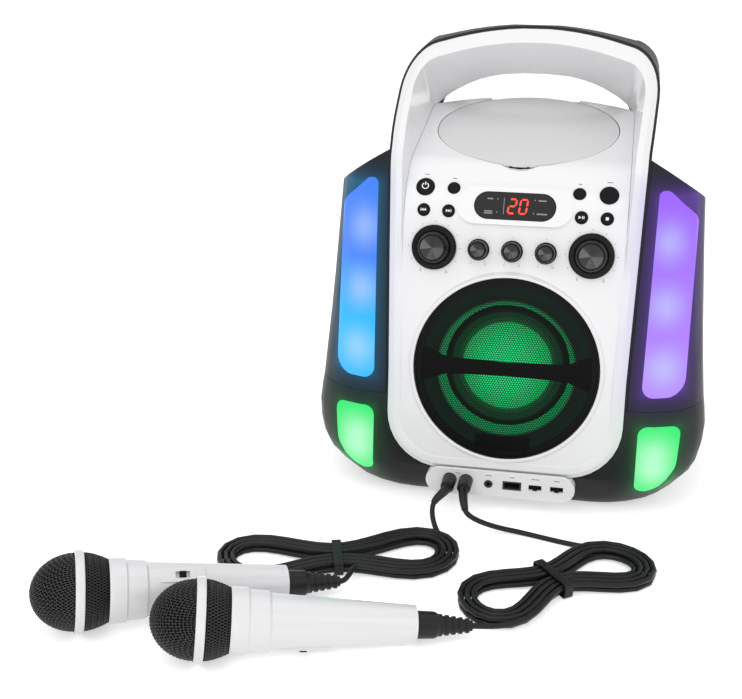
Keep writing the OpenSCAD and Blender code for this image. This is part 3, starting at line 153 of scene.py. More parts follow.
def hank_point(h, t):
    u = math.radians(h[5] - 360 * t)
    mid = 3 + h[5] / 360
    w = abs(math.sin(u)) ** 3
    near = math.radians(0.5)
    along = (hank_core(h, u + near) - hank_core(h, u - near)).normalized()
    q = hank_core(h, u) + LOOP_STEP * abs(t - mid) * Vector((along.y, -along.x))
    a = math.radians(h[2])
    radius = bpy.context.scene.cord_sizes.diameter / MM / 2
    z = radius + TIE_LIFT * w + LAYER_STEP * ease((t - mid + 0.2) / 0.4)
    return Vector((h[0] + q.x * math.cos(a) - q.y * math.sin(a), h[1] + q.x * math.sin(a) + q.y * math.cos(a),
                   z))


def hank_slope(h, t):
    return (hank_point(h, t + 0.002) - hank_point(h, t - 0.002)).normalized()


def hermite(p, a, q, b, n):
    """n steps from p to q that leave along a and arrive along b."""
    p, a, q, b = Vector(p), Vector(a), Vector(q), Vector(b)
    out = []
    for i in range(n + 1):
        t = i / n
        out.append((2 * t ** 3 - 3 * t * t + 1) * p + (t ** 3 - 2 * t * t + t) * a
                   + (3 * t * t - 2 * t ** 3) * q + (t ** 3 - t * t) * b)
    return out


def cord_route(h, stretches, mic, reach):
    """The whole cord from the plug's strain relief to the microphone's."""
    start, slope = hank_point(h, 0), hank_slope(h, 0)
    route = []
    for i, (p, a, q, b, n) in enumerate(stretches):
        if q is None:
            q, b = start, slope * b
        part = hermite(p, a, q, b, n)
        route += part if i == 0 else part[1:]
    count = round(h[6] * 36)
    route += [hank_point(h, h[6] * i / count) for i in range(1, count + 1)]
    end = mic_point(mic, MIC_LENGTH + RELIEF_LENGTH)
    back = (mic_point(mic, MIC_LENGTH) - end).normalized()
    last, away = hank_point(h, h[6]), hank_slope(h, h[6])
    gap = (end - last).length
    route += hermite(last, away * gap * reach, end, back * gap * 0.9, 18)[1:]
    return [p * MM for p in route]


# ---- making pieces ----
def face_outwards(me):
    bm = bmesh.new()
    bm.from_mesh(me)
    bmesh.ops.recalc_face_normals(bm, faces=bm.faces)
    bm.to_mesh(me)
    bm.free()


def plain_mesh(name, verts, faces, smooth=False):
    me = bpy.data.meshes.new(name)
    me.from_pydata([tuple(v) for v in verts], [], faces)
    me.validate()
    if smooth:
        me.shade_smooth()
    return me


def piece(name, me, body, finish, node=None):
    """Puts a finished mesh on its body, with its finish, in place of a node if it has one."""
    obj = bpy.data.objects.new(name, me)
    bpy.context.scene.collection.objects.link(obj)
    if finish is not None:
        me.materials.clear()
        me.materials.append(finish)
    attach(obj, body)
    if node:
        for n in node if isinstance(node, (list, tuple)) else [node]:
            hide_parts(n)
    return obj


def settle(obj):
    """Turns an object's modifiers into its mesh and removes them."""
    deps = bpy.context.evaluated_depsgraph_get()
    deps.update()
    me = bpy.data.meshes.new_from_object(obj.evaluated_get(deps), depsgraph=deps)
    obj.modifiers.clear()
    if obj.type == "MESH":
        obj.data = me
        return obj
    name = obj.name
    bpy.data.objects.remove(obj)
    new = bpy.data.objects.new(name, me)
    bpy.context.scene.collection.objects.link(new)
    return new


def tidy_copy(node, flat=0.6):
    """A welded copy of a node's mesh, with flat regions joined into single faces."""
    bm = bmesh.new()
    bm.from_mesh(NODES[node].data)
    bmesh.ops.remove_doubles(bm, verts=bm.verts, dist=2e-6)
    bmesh.ops.dissolve_limit(bm, angle_limit=math.radians(flat), verts=bm.verts, edges=bm.edges)
    return bm


def dressed(node, finish, bevel=0.3, angle=28, segments=2, name=None, flat=0.6, keep=None):
    """The node's own form with eased edges and smooth faces. keep picks vertices of one of its solids."""
    bm = tidy_copy(node, flat)
    if keep:
        bmesh.ops.delete(bm, geom=[v for v in bm.verts if not keep(v.co)], context="VERTS")
    me = bpy.data.meshes.new(node + "_form")
    bm.to_mesh(me)
    bm.free()
    obj = bpy.data.objects.new(name or node + "_form", me)
    bpy.context.scene.collection.objects.link(obj)
    if bevel > 0:
        mod = obj.modifiers.new("Eased edges", "BEVEL")
        mod.width = bevel * MM
        mod.segments = segments
        mod.limit_method = "ANGLE"
        mod.angle_limit = math.radians(angle)
        mod.use_clamp_overlap = True
        mod.harden_normals = False
    me.shade_smooth()
    obj = settle(obj)
    sharp_edges(obj.data, 40 if bevel > 0 else 32)
    mod = obj.modifiers.new("Face normals", "WEIGHTED_NORMAL")
    mod.keep_sharp = True
    obj = settle(obj)
    obj.data.materials.clear()
    obj.data.materials.append(finish)
    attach(obj, BODY_OF[node])
    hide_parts(node)
    return obj


def dress_all(*rows):
    """Dresses nodes in turn: each row is a node, its finish's key, bevel, angle and segments."""
    for node, finish, *rest in rows:
        dressed(node, F[finish], *rest)


def sharp_edges(me, angle):
    bm = bmesh.new()
    bm.from_mesh(me)
    for f in bm.faces:
        f.smooth = True
    limit = math.radians(angle)
    for e in bm.edges:
        e.smooth = len(e.link_faces) == 2 and e.calc_face_angle(0) < limit
    bm.to_mesh(me)
    bm.free()


def wear(node, finish):
    """Keeps a node as it is and gives it a finish."""
    obj = NODES[node]
    obj.data.materials.clear()
    obj.data.materials.append(finish)


def shape_piece(name, outlines, place, body, finish, thickness=0.12, lift=0.0):
    """Thin raised marks: each outline is a list of x, y points in millimetres."""
    bm = bmesh.new()
    for outline in outlines:
        verts = [bm.verts.new((x, y, lift + thickness)) for x, y in outline]
        face = bm.faces.new(verts)
        face.normal_update()
        if face.normal.z < 0:
            face.normal_flip()
        out = bmesh.ops.extrude_face_region(bm, geom=[face])
        low = [v for v in out["geom"] if isinstance(v, bmesh.types.BMVert)]
        bmesh.ops.translate(bm, verts=low, vec=(0, 0, -thickness))
    bmesh.ops.recalc_face_normals(bm, faces=bm.faces)
    me = bpy.data.meshes.new(name)
    bm.to_mesh(me)
    bm.free()
    me.transform(place)
    return piece(name, me, body, finish)


# ---- finishes ----
def group(name, inputs, outputs):
    tree = bpy.data.node_groups.new(name, "ShaderNodeTree")
    for label, kind, value in inputs:
        socket = tree.interface.new_socket(label, in_out="INPUT", socket_type=kind)
        socket.default_value = value
    for label, kind in outputs:
        tree.interface.new_socket(label, in_out="OUTPUT", socket_type=kind)
    return tree, tree.nodes.new("NodeGroupInput"), tree.nodes.new("NodeGroupOutput")


def feed(tree, socket, value):
    """Gives a socket its value, or the socket that feeds it."""
    if isinstance(value, bpy.types.NodeSocket):
        tree.links.new(value, socket)
    else:
        socket.default_value = value


def put(tree, kind, settings=None, **links):
    """Adds a node. Settings are its properties, and links its sockets' values or what feeds them."""
    node = tree.nodes.new(kind)
    for key, value in (settings or {}).items():
        setattr(node, key, value)
    for key, value in links.items():
        numbered = key[0] == "i" and key[1:].isdigit()
        feed(tree, node.inputs[int(key[1:]) if numbered else key.replace("_", " ")], value)
    return node


def set_values(node, **values):
    for key, value in values.items():
        node.inputs[key.replace("_", " ")].default_value = value


def maths(tree, operation, a, b=0.0, clamp=False):
    return put(tree, "ShaderNodeMath", {"operation": operation, "use_clamp": clamp}, i0=a, i1=b).outputs[0]


def vector(tree, operation, a, b=(0, 0, 0)):
    return put(tree, "ShaderNodeVectorMath", {"operation": operation}, i0=a, i1=b).outputs[0]


def blend_colour(tree, factor, a, b, kind="MIX"):
    return put(tree, "ShaderNodeMix", {"data_type": "RGBA", "blend_type": kind}, i0=factor, i6=a,
               i7=b).outputs[2]


def colour_ramp(tree, stops, factor):
    """A ramp of stops, each a place from 0 to 1 and a colour, fed by a factor."""
    ramp = tree.nodes.new("ShaderNodeValToRGB")
    while len(ramp.color_ramp.elements) < len(stops):
        ramp.color_ramp.elements.new(0.5)
    for element, (at, colour) in zip(ramp.color_ramp.elements, stops):
        element.position = at
        element.color = tuple(colour) + (1,)
    tree.links.new(factor, ramp.inputs[0])
    return ramp.outputs[0]


def use(tree, made, **links):
    return put(tree, "ShaderNodeGroup", {"node_tree": made}, **links)


def make_groups():
    made = {}
    tree, i, o = group("Moulded grain", [("Place", "NodeSocketVector", (0, 0, 0)),
                                         ("Scale", "NodeSocketFloat", 900.0),
                                         ("Spread", "NodeSocketFloat", 0.06),
                                         ("Base", "NodeSocketFloat", 0.4)],
                       [("Height", "NodeSocketFloat"), ("Roughness", "NodeSocketFloat"),
                        ("Dust", "NodeSocketFloat")])
    fine = put(tree, "ShaderNodeTexNoise", Vector=i.outputs["Place"], Scale=i.outputs["Scale"], Detail=2.0)
    broad = put(tree, "ShaderNodeTexNoise", Vector=i.outputs["Place"], Scale=26.0, Detail=3.0)
    dust = put(tree, "ShaderNodeTexNoise", Vector=i.outputs["Place"], Scale=340.0, Detail=4.0, Roughness=0.7)
    swing = maths(tree, "MULTIPLY", maths(tree, "SUBTRACT", broad.outputs["Fac"], 0.5), i.outputs["Spread"])
    tree.links.new(fine.outputs["Fac"], o.inputs["Height"])
    tree.links.new(maths(tree, "ADD", i.outputs["Base"], swing, True), o.inputs["Roughness"])
    tree.links.new(maths(tree, "MULTIPLY", maths(tree, "SUBTRACT", dust.outputs["Fac"], 0.6), 3.0, True),
                   o.inputs["Dust"])
    made["grain"] = tree

    tree, i, o = group("Light spill", [("Place", "NodeSocketVector", (0, 0, 0)),
                                       ("Centre", "NodeSocketVector", (0, 0, 0)),
                                       ("Half size", "NodeSocketVector", (0.01, 1, 0.05)),
                                       ("Reach", "NodeSocketFloat", 0.01)],
                       [("Mask", "NodeSocketFloat")])
    away = vector(tree, "ABSOLUTE", vector(tree, "SUBTRACT", i.outputs["Place"], i.outputs["Centre"]))
    past = vector(tree, "MAXIMUM", vector(tree, "SUBTRACT", away, i.outputs["Half size"]), (0, 0, 0))
    length = put(tree, "ShaderNodeVectorMath", {"operation": "LENGTH"}, i0=past).outputs["Value"]
    ratio = maths(tree, "DIVIDE", length, i.outputs["Reach"])
    fall = maths(tree, "POWER", EULER, maths(tree, "MULTIPLY", ratio, -1.0))
    tree.links.new(fall, o.inputs["Mask"])
    made["spill"] = tree

    tree, i, o = group("Lamp glow", [("Place", "NodeSocketVector", (0, 0, 0)),
                                     ("Lamp 1", "NodeSocketVector", (0, 0, 0)),
                                     ("Lamp 2", "NodeSocketVector", (0, 0, 0)),
                                     ("Lamp 3", "NodeSocketVector", (0, 0, 0)),
                                     ("Size", "NodeSocketFloat", 0.02)],
                       [("Mask", "NodeSocketFloat")])
    total = None
    for k in (1, 2, 3):
        gap = put(tree, "ShaderNodeVectorMath", {"operation": "DISTANCE"}, i0=i.outputs["Place"],
                  i1=i.outputs["Lamp %d" % k]).outputs["Value"]
        square = maths(tree, "POWER", maths(tree, "DIVIDE", gap, i.outputs["Size"]), 2.0)
        bump = maths(tree, "POWER", EULER, maths(tree, "MULTIPLY", square, -1.0))
        total = bump if total is None else maths(tree, "MAXIMUM", total, bump)
    tree.links.new(total, o.inputs["Mask"])
    made["glow"] = tree
    return made


def new_finish(name):
    mat = bpy.data.materials.new(name)
    mat.use_nodes = True
    tree = mat.node_tree
    shader = tree.nodes["Principled BSDF"]
    place = tree.nodes.new("ShaderNodeTexCoord").outputs["Object"]
    return mat, tree, shader, place


def uneven_gloss(tree, shader, place, scale, spread, base):
    """Links the grain's uneven roughness to a finish and gives back the grain."""
    grain = use(tree, GROUPS["grain"], Place=place, Scale=scale, Spread=spread, Base=base)
    tree.links.new(grain.outputs["Roughness"], shader.inputs["Roughness"])
    return grain


def grained(name, colour, roughness, spread=0.06, scale=900.0, bump=0.05, coat=0.0, metallic=0.0, dust=0.0,
            specular=0.5):
    """A moulded or cast finish with fine grain, uneven gloss and a little dust."""
    mat, tree, shader, place = new_finish(name)
    grain = uneven_gloss(tree, shader, place, scale, spread, roughness)
    lift = tuple(min(1.0, c + 0.12) for c in colour[:3]) + (1.0,)
    amount = maths(tree, "MULTIPLY", grain.outputs["Dust"], dust)
    tree.links.new(blend_colour(tree, amount, tuple(colour[:3]) + (1.0,), lift), shader.inputs["Base Color"])
    if bump > 0:
        rough = put(tree, "ShaderNodeBump", Height=grain.outputs["Height"], Strength=bump, Distance=0.00012)
        tree.links.new(rough.outputs["Normal"], shader.inputs["Normal"])
    set_values(shader, Metallic=metallic, Specular_IOR_Level=specular, Coat_Weight=coat, Coat_Roughness=0.08)
    return mat, tree, shader, place


def painted_lens_light(mat_parts, spills):
    """Paints the light of the lenses into a finish's colour and glow: each spill is a centre, half size,
    reach, colour, share and shine.
    """
    mat, tree, shader, place = mat_parts
    base = shader.inputs["Base Color"].links[0].from_socket
    glow = None
    for centre, half, reach, colour, share, shine in spills:
        mask = use(tree, GROUPS["spill"], Place=place, Centre=centre, Half_size=half,
                   Reach=reach).outputs["Mask"]
        base = blend_colour(tree, maths(tree, "MULTIPLY", mask, share, True), base, tuple(colour) + (1.0,))
        light = blend_colour(tree, maths(tree, "MULTIPLY", mask, shine, True), CLEAR, tuple(colour) + (1.0,))
        glow = light if glow is None else blend_colour(tree, 1.0, glow, light, "ADD")
    tree.links.new(base, shader.inputs["Base Color"])
    tree.links.new(glow, shader.inputs["Emission Color"])
    shader.inputs["Emission Strength"].default_value = 1.0
    return mat


F = {}
GROUPS = {}


def make_finishes():
    look = bpy.context.scene.machine_finish
    white = tuple(look.white)
    black = tuple(look.black)
    GROUPS.update(make_groups())
    blue, cyan = (0.05, 0.21, 0.96), (0.01, 0.46, 0.94)
    violet, green = (0.30, 0.11, 0.95), (0.01, 0.80, 0.15)
    left = ((-0.124, -0.09, 0.183), (0.014, 0.2, 0.075))
    right = ((0.124, -0.09, 0.183), (0.014, 0.2, 0.075))
    low_left = ((-0.123, -0.09, 0.05), (0.013, 0.2, 0.026))
    low_right = ((0.123, -0.09, 0.05), (0.013, 0.2, 0.026))
    # The mouldings carry painted light: the lenses' coloured spill is painted into their colour and glow near
    # each lens.
    F["white"] = painted_lens_light(grained("Gloss white moulding", white, 0.24, 0.05, 1400, 0.02, coat=0.35), [
        (*left, 0.0070, blue, 0.85, 0.10), (*right, 0.0070, violet, 1.5, 0.15),
        (*low_left, 0.009, green, 0.45, 0.06), (*low_right, 0.009, green, 0.65, 0.08)])
    F["black"] = painted_lens_light(grained("Satin black moulding", black, 0.40, 0.08, 1500, 0.10, dust=0.08,
                                specular=0.18), [
        (*left, 0.007, cyan, 0.12, 0.10), (*right, 0.007, violet, 0.14, 0.13),
        (*low_left, 0.005, green, 0.10, 0.10), (*low_right, 0.005, green, 0.10, 0.10)])
    deep = (0.003, 0.003, 0.0032)
    # key, name, colour, roughness, spread, scale, bump and what differs from the plain finish
    for key, name, colour, roughness, spread, scale, bump, more in (
            ("lid", "Disc lid moulding", tuple(c * 0.82 for c in white), 0.3, 0.05, 1400, 0.02,
             {"coat": 0.2}),
            ("rear", "Grained rear shell", black, 0.45, 0.08, 1100, 0.18, {"dust": 0.08, "specular": 0.2}),
            ("trim", "Gloss black trim", deep, 0.2, 0.05, 1500, 0.01, {"specular": 0.10}),
            ("knob", "Knob black", deep, 0.24, 0.06, 1500, 0.03, {"specular": 0.14}),
            ("button", "Button black", (0.005, 0.005, 0.0055), 0.42, 0.05, 1300, 0.06, {"specular": 0.12}),
            ("rubber", "Cord rubber", (0.007, 0.007, 0.008), 0.36, 0.10, 700, 0.05,
             {"dust": 0.03, "specular": 0.3}),
            ("foot", "Foot rubber", (0.03, 0.03, 0.03), 0.7, 0.08, 800, 0.2, {"dust": 0.3}),
            ("inner", "Inner plastic", (0.02, 0.02, 0.022), 0.5, 0.05, 1000, 0.08, {}),
            ("metal", "Bright metal", (0.62, 0.62, 0.64), 0.28, 0.12, 800, 0.05, {"metallic": 1.0}),
            ("chassis", "Pressed chassis", (0.25, 0.25, 0.27), 0.4, 0.1, 700, 0.05, {"metallic": 0.8}),
            ("board", "Circuit board", (0.03, 0.16, 0.08), 0.35, 0.1, 500, 0.05, {"coat": 0.3}),
            ("gear", "White gear plastic", (0.75, 0.74, 0.7), 0.4, 0.05, 900, 0.03, {}),
            ("wire", "Black mesh wire", deep, 0.30, 0.08, 1500, 0.04, {"specular": 0.08}),
            ("head_wire", "Black plated wire", (0.05, 0.05, 0.052), 0.26, 0.08, 1500, 0.04,
             {"metallic": 0.9}),
            ("foam", "Capsule foam", (0.015, 0.015, 0.016), 0.9, 0.05, 1800, 0.5, {}),
            ("mic_white", "Microphone white", (0.76, 0.76, 0.77), 0.22, 0.05, 1400, 0.02, {"coat": 0.3}),
            ("ink", "Printed grey ink", (0.12, 0.12, 0.13), 0.5, 0.05, 900, 0.02, {}),
            ("mark", "Printed white ink", (0.9, 0.9, 0.9), 0.5, 0.05, 900, 0.02, {}),
            ("window", "Display window", (0.006, 0.005, 0.006), 0.14, 0.04, 1500, 0.0, {"specular": 0.25})):
        F[key] = grained(name, colour, roughness, spread, scale, bump, **more)[0]
    make_lens((-0.122, 0.122), (blue, cyan), (violet, (0.42, 0.22, 0.95)))
    make_corner_lens(green)
    make_driver_finishes()
    make_spun_cap_painted_reflection()
    make_lit("segment", "Display segments", (1.0, 0.03, 0.01), 2.6)
    make_lit("pilot", "Display line", (0.8, 0.8, 0.85), 0.35)


def make_lit(key, name, colour, strength):
    mat, tree, shader, place = new_finish(name)
    uneven_gloss(tree, shader, place, 600.0, 0.1, 0.4)
    set_values(shader, Base_Color=(0.02, 0.01, 0.01, 1), Emission_Color=tuple(colour) + (1.0,),
               Emission_Strength=strength)
    F[key] = mat


def make_lens(places, left_colours, right_colours):
    """Frosted lens over three lamps: a colour that runs from top to bottom, with a pale spot at each lamp."""
    look = bpy.context.scene.machine_finish
    mat, tree, shader, place = new_finish("Frosted side lens")
    split = put(tree, "ShaderNodeSeparateXYZ", Vector=place)
    high = maths(tree, "DIVIDE", maths(tree, "SUBTRACT", split.outputs["Z"], 0.105), 0.158, True)
    left = blend_colour(tree, maths(tree, "MULTIPLY", maths(tree, "SUBTRACT", high, 0.28), 3.0, True),
                        tuple(left_colours[1]) + (1,), tuple(left_colours[0]) + (1,))
    right = blend_colour(tree, high, tuple(right_colours[1]) + (1,), tuple(right_colours[0]) + (1,))
    side = maths(tree, "GREATER_THAN", split.outputs["X"], 0.0)
    colour = blend_colour(tree, side, left, right)
    spots = []
    for x in places:
        spots.append(use(tree, GROUPS["glow"], Place=place, Lamp_1=(x, -0.085, 0.127),
                         Lamp_2=(x, -0.08, 0.176),
                         Lamp_3=(x, -0.072, 0.225), Size=look.lamp_size).outputs["Mask"])
    both = maths(tree, "MAXIMUM", spots[0], spots[1])
    pale = blend_colour(tree, maths(tree, "MULTIPLY", both, 0.5), colour, (0.55, 0.72, 1.0, 1))
    tree.links.new(pale, shader.inputs["Emission Color"])
    tree.links.new(blend_colour(tree, 0.9, colour, CLEAR), shader.inputs["Base Color"])
    set_values(shader, Specular_IOR_Level=0.3, Emission_Strength=look.lens_strength)
    uneven_gloss(tree, shader, place, 700.0, 0.08, 0.3)
    F["tall_lens"] = mat


def make_corner_lens(green):
    look = bpy.context.scene.machine_finish
    mat, tree, shader, place = new_finish("Frosted corner lens")
    spots = [use(tree, GROUPS["glow"], Place=place, Lamp_1=(x, -0.10, 0.054), Lamp_2=(x, -0.098, 0.046),
                 Lamp_3=(x, -0.10, 0.05), Size=look.lamp_size * 1.05).outputs["Mask"]
                 for x in (-0.121, 0.121)]
    both = maths(tree, "MAXIMUM", spots[0], spots[1])
    pale = blend_colour(tree, maths(tree, "MULTIPLY", both, 0.75), tuple(green) + (1,), (0.62, 0.98, 0.76, 1))
    tree.links.new(pale, shader.inputs["Emission Color"])
    set_values(shader, Base_Color=(0.0, 0.06, 0.01, 1), Specular_IOR_Level=0.3,
               Emission_Strength=look.lens_strength)
    uneven_gloss(tree, shader, place, 700.0, 0.08, 0.3)
    F["corner_lens"] = mat


def radial_finish(name, centre, stops, strength, rough=0.45):
    """A glow that runs with the distance from the speaker's axis: stops are radius in mm and colour."""
    mat, tree, shader, place = new_finish(name)
    local = put(tree, "ShaderNodeMapping", {"vector_type": "TEXTURE"}, Vector=place, Location=centre,
                Rotation=(math.radians(90 - BAFFLE_LEAN), 0, 0)).outputs[0]
    split = put(tree, "ShaderNodeSeparateXYZ", Vector=local)
    flat = put(tree, "ShaderNodeCombineXYZ", X=split.outputs["X"], Y=split.outputs["Y"], Z=0.0)
    far = put(tree, "ShaderNodeVectorMath", {"operation": "LENGTH"}, i0=flat.outputs[0]).outputs["Value"]
    ratio = maths(tree, "DIVIDE", far, 0.08, True)
    glow = colour_ramp(tree, [(radius / 80, colour) for radius, colour in stops], ratio)
    tree.links.new(glow, shader.inputs["Emission Color"])
    set_values(shader, Emission_Strength=strength, Base_Color=(0.004, 0.012, 0.007, 1),
               Specular_IOR_Level=0.12)
    uneven_gloss(tree, shader, place, 900.0, 0.08, rough)
    return mat


def make_driver_finishes():
    # Painted light: the glow on the cone, surround and frame stands for the speaker's lamps shining on them.
    centre = tuple(Vector((0, panel_y(SPEAKER_Z), SPEAKER_Z)) * MM)
    dark = (0.001, 0.006, 0.003)
    F["cone"] = radial_finish("Lit speaker cone", centre, [
        (0, (0.012, 0.62, 0.20)), (20, (0.010, 0.52, 0.15)), (35.3, (0.008, 0.34, 0.09)),
        (36.4, (0.004, 0.07, 0.02)), (40, (0.003, 0.05, 0.016))], 1.35)
    F["surround"] = radial_finish("Speaker surround", centre, [
        (40, (0.003, 0.055, 0.018)), (44, (0.003, 0.045, 0.015)), (45.5, (0.0005, 0.003, 0.001)),
        (50, (0.0008, 0.004, 0.002))], 1.0, 0.55)
    F["basket"] = radial_finish("Lit speaker ring", centre, [
        (50, (0.006, 0.22, 0.07)), (53.5, (0.006, 0.20, 0.065)), (56, dark), (66, (0.002, 0.012, 0.008)),
        (80, dark)], 1.2)


def make_spun_cap_painted_reflection():
    """Turned cap metal with a painted reflection: the UV map's U runs round the cap, so the reflection's
    light and dark wedges are painted in the colour.
    """
    mat, tree, shader, place = new_finish("Spun knob cap with painted reflection")
    uv = tree.nodes.new("ShaderNodeTexCoord").outputs["UV"]
    split = put(tree, "ShaderNodeSeparateXYZ", Vector=uv)
    # Painted reflection: these greys are the light and dark wedges of the cap's reflection, painted into its
    # colour.
    stops = [(0.0, 0.10), (0.10, 0.045), (0.24, 0.03), (0.36, 0.05), (0.40, 0.26), (0.52, 0.30),
             (0.535, 0.05),
             (0.66, 0.06), (0.70, 0.20), (0.80, 0.12), (0.83, 0.24), (0.97, 0.22)]
    wedges = colour_ramp(tree, [(at, (grey * 0.38, grey * 0.38, grey * 0.39)) for at, grey in stops],
                         split.outputs["X"])
    outwards = put(tree, "ShaderNodeCombineXYZ", X=0.0, Y=split.outputs["Y"], Z=0.0).outputs[0]
    rings = put(tree, "ShaderNodeTexNoise", Vector=outwards, Scale=90.0, Detail=3.0)
    shade = blend_colour(tree, maths(tree, "MULTIPLY", rings.outputs["Fac"], 0.35), wedges,
                         (0.02, 0.02, 0.02, 1))
    tree.links.new(shade, shader.inputs["Base Color"])
    uneven_gloss(tree, shader, place, 900.0, 0.08, 0.33)
    shader.inputs["Metallic"].default_value = 0.55
    F["spun"] = mat


# ---- sizes and colours that a user would change ----
class MachineFinish(bpy.types.PropertyGroup):
    white: bpy.props.FloatVectorProperty(name="White", description="Colour of the front moulding",
                                         subtype="COLOR",
                                         size=3, default=(0.84, 0.84, 0.85), min=0, max=1)
    black: bpy.props.FloatVectorProperty(name="Black", description="Colour of the rear mouldings",
                                         subtype="COLOR",
                                         size=3, default=(0.012, 0.012, 0.013), min=0, max=1)
    lens_strength: bpy.props.FloatProperty(name="Lens strength", description="How bright the lenses shine",
                                           default=1.0, min=0, max=5)
    lamp_size: bpy.props.FloatProperty(name="Lamp size", description="Radius of the pale spot over each lamp",
                                       default=0.0155, min=0.005, max=0.04, unit="LENGTH")


class GrilleSizes(bpy.types.PropertyGroup):
    pitch: bpy.props.FloatProperty(name="Hole pitch", description="Distance between the grille's holes",
                                   default=0.0020, min=0.001, max=0.005, unit="LENGTH")
    share: bpy.props.FloatProperty(name="Hole share", description="Hole width as a share of the pitch",
                                   default=0.62, min=0.2, max=0.85, subtype="FACTOR")
    weave: bpy.props.FloatProperty(name="Weave pitch",
                                   description="Distance between the wires of a microphone head",
                                   default=0.0022, min=0.001, max=0.004, unit="LENGTH")
    wire: bpy.props.FloatProperty(name="Wire", description="Thickness of the head's wires", default=0.0011,
                                  min=0.0003, max=0.002, unit="LENGTH")


class CordSizes(bpy.types.PropertyGroup):
    diameter: bpy.props.FloatProperty(name="Cord diameter", description="Diameter of the microphone cords",
                                      default=0.0042, min=0.003, max=0.006, unit="LENGTH")


class StageSizes(bpy.types.PropertyGroup):
    world: bpy.props.FloatProperty(name="Room light", description="Strength of the even light all round",
                                   default=0.68,
                                   min=0, max=3)
    key: bpy.props.FloatProperty(name="Key light", description="Power of the large soft lamp", default=7.8,
                                 min=0,
                                 max=100, unit="POWER")


# ---- operators, one for each piece or group of like pieces ----
class MakeCamera(bpy.types.Operator):
    """Places the camera at the photograph's viewing angle"""
    bl_idname = "karaoke.camera"
    bl_label = "Camera"

    def execute(self, context):
        cam = bpy.data.cameras.new("Camera")
        obj = bpy.data.objects.new("Camera", cam)
        context.scene.collection.objects.link(obj)
        cam.sensor_width = SENSOR_WIDTH
        cam.lens = SENSOR_WIDTH * FOCAL_LENGTH / PHOTO_WIDTH
        cam.clip_start = 0.01
        yaw, pitch = math.radians(CAMERA_YAW), math.radians(CAMERA_PITCH)
        ahead = Vector((math.sin(yaw) * math.cos(pitch), math.cos(yaw) * math.cos(pitch), -math.sin(pitch)))
        obj.matrix_world = (Matrix.Translation(Vector(CAMERA_PLACE) * MM)
                            @ ahead.to_track_quat("-Z", "Y").to_matrix().to_4x4())
        context.scene.camera = obj
        return {"FINISHED"}


class MakeFinishes(bpy.types.Operator):
    """Builds the shader groups and every finish"""
    bl_idname = "karaoke.finishes"
    bl_label = "Finishes"

    def execute(self, context):
        make_finishes()
        return {"FINISHED"}


class MakeCords(bpy.types.Operator):
    """Lays the two microphone cords: down from the plug, through the hank and on to the microphone"""
    bl_idname = "karaoke.cords"
    bl_label = "Microphone cords"

    def execute(self, context):
        size = context.scene.cord_sizes
        d = size.diameter
        a0 = hermite((PLUG_X[0], PLUG_Y, PLUG_Z), (0, -12, -1), (-49, -139, 19.5), (-4, -10, -9), 8)[8]
        b0 = hermite((PLUG_X[1], PLUG_Y, PLUG_Z), (0, -14, -1), (-23.5, -142, 17), (5, -10, -9), 8)[8]
        out_a, out_b = Vector((-4, -10, -9)).normalized(), Vector((5, -10, -9)).normalized()
        mid = (12, -143, 3.4)
        routes = {
            "left": cord_route(HANK_A, [(a0, out_a * 30, None, 34, 24)], REAR_MIC, 0.8),
            "right": cord_route(HANK_B, [(b0, out_b * 26, mid, (30, 3, -5), 12),
                                         (mid, (60, 6, -10), None, 60, 20)], FRONT_MIC, 1.5),
        }
        for side, route in routes.items():
            curve = bpy.data.curves.new("cord_" + side, "CURVE")
            curve.dimensions = "3D"
            curve.bevel_depth = d / 2
            curve.bevel_resolution = 3
            spline = curve.splines.new("POLY")
            spline.points.add(len(route) - 1)
            for point, place in zip(spline.points, route):
                point.co = (*place, 1)
            curve.materials.append(F["rubber"])
            obj = bpy.data.objects.new("cord_whole_" + side, curve)
            context.scene.collection.objects.link(obj)
            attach(obj, "machine")
            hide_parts("cord_" + side, "hank_" + side, "lead_" + side)
            middle = (PLUG_X[0] + PLUG_X[1]) / 2 * MM
            plug = dressed("mic_plugs", F["rubber"], 0.2, 30, 2, name="mic_plug_" + side,
                           keep=lambda co: (co.x < middle) == (side == "left"))
            length = sum((q - p).length for p, q in zip(route, route[1:]))
            tuple(route[0])
        return {"FINISHED"}


class MakeShells(bpy.types.Operator):
    """Eases the edges of the shells, covers, panel and plate and gives them their finishes"""
    bl_idname = "karaoke.shells"
    bl_label = "Shells and covers"

    def execute(self, context):
        dress_all(("front_shell", "white", 0.9, 24, 3), ("control_panel", "white", 0.35, 28, 2),
                  ("socket_plate", "white", 0.6, 28, 3), ("lower_shell", "black", 0.5, 30, 2),
                  ("side_cover_left", "black", 0.6, 30, 2), ("side_cover_right", "black", 0.6, 30, 2),
                  ("rear_shell", "rear", 0.6, 30, 2), ("light_lenses", "tall_lens", 0.4, 30, 2),
                  ("corner_lenses", "corner_lens", 0.4, 30, 2))
        for node in ("light_boards", "main_board", "control_board"):
            wear(node, F["board"])
        dress_all(("feet", "foot", 0.5), ("case_screws", "metal", 0.15))
        return {"FINISHED"}


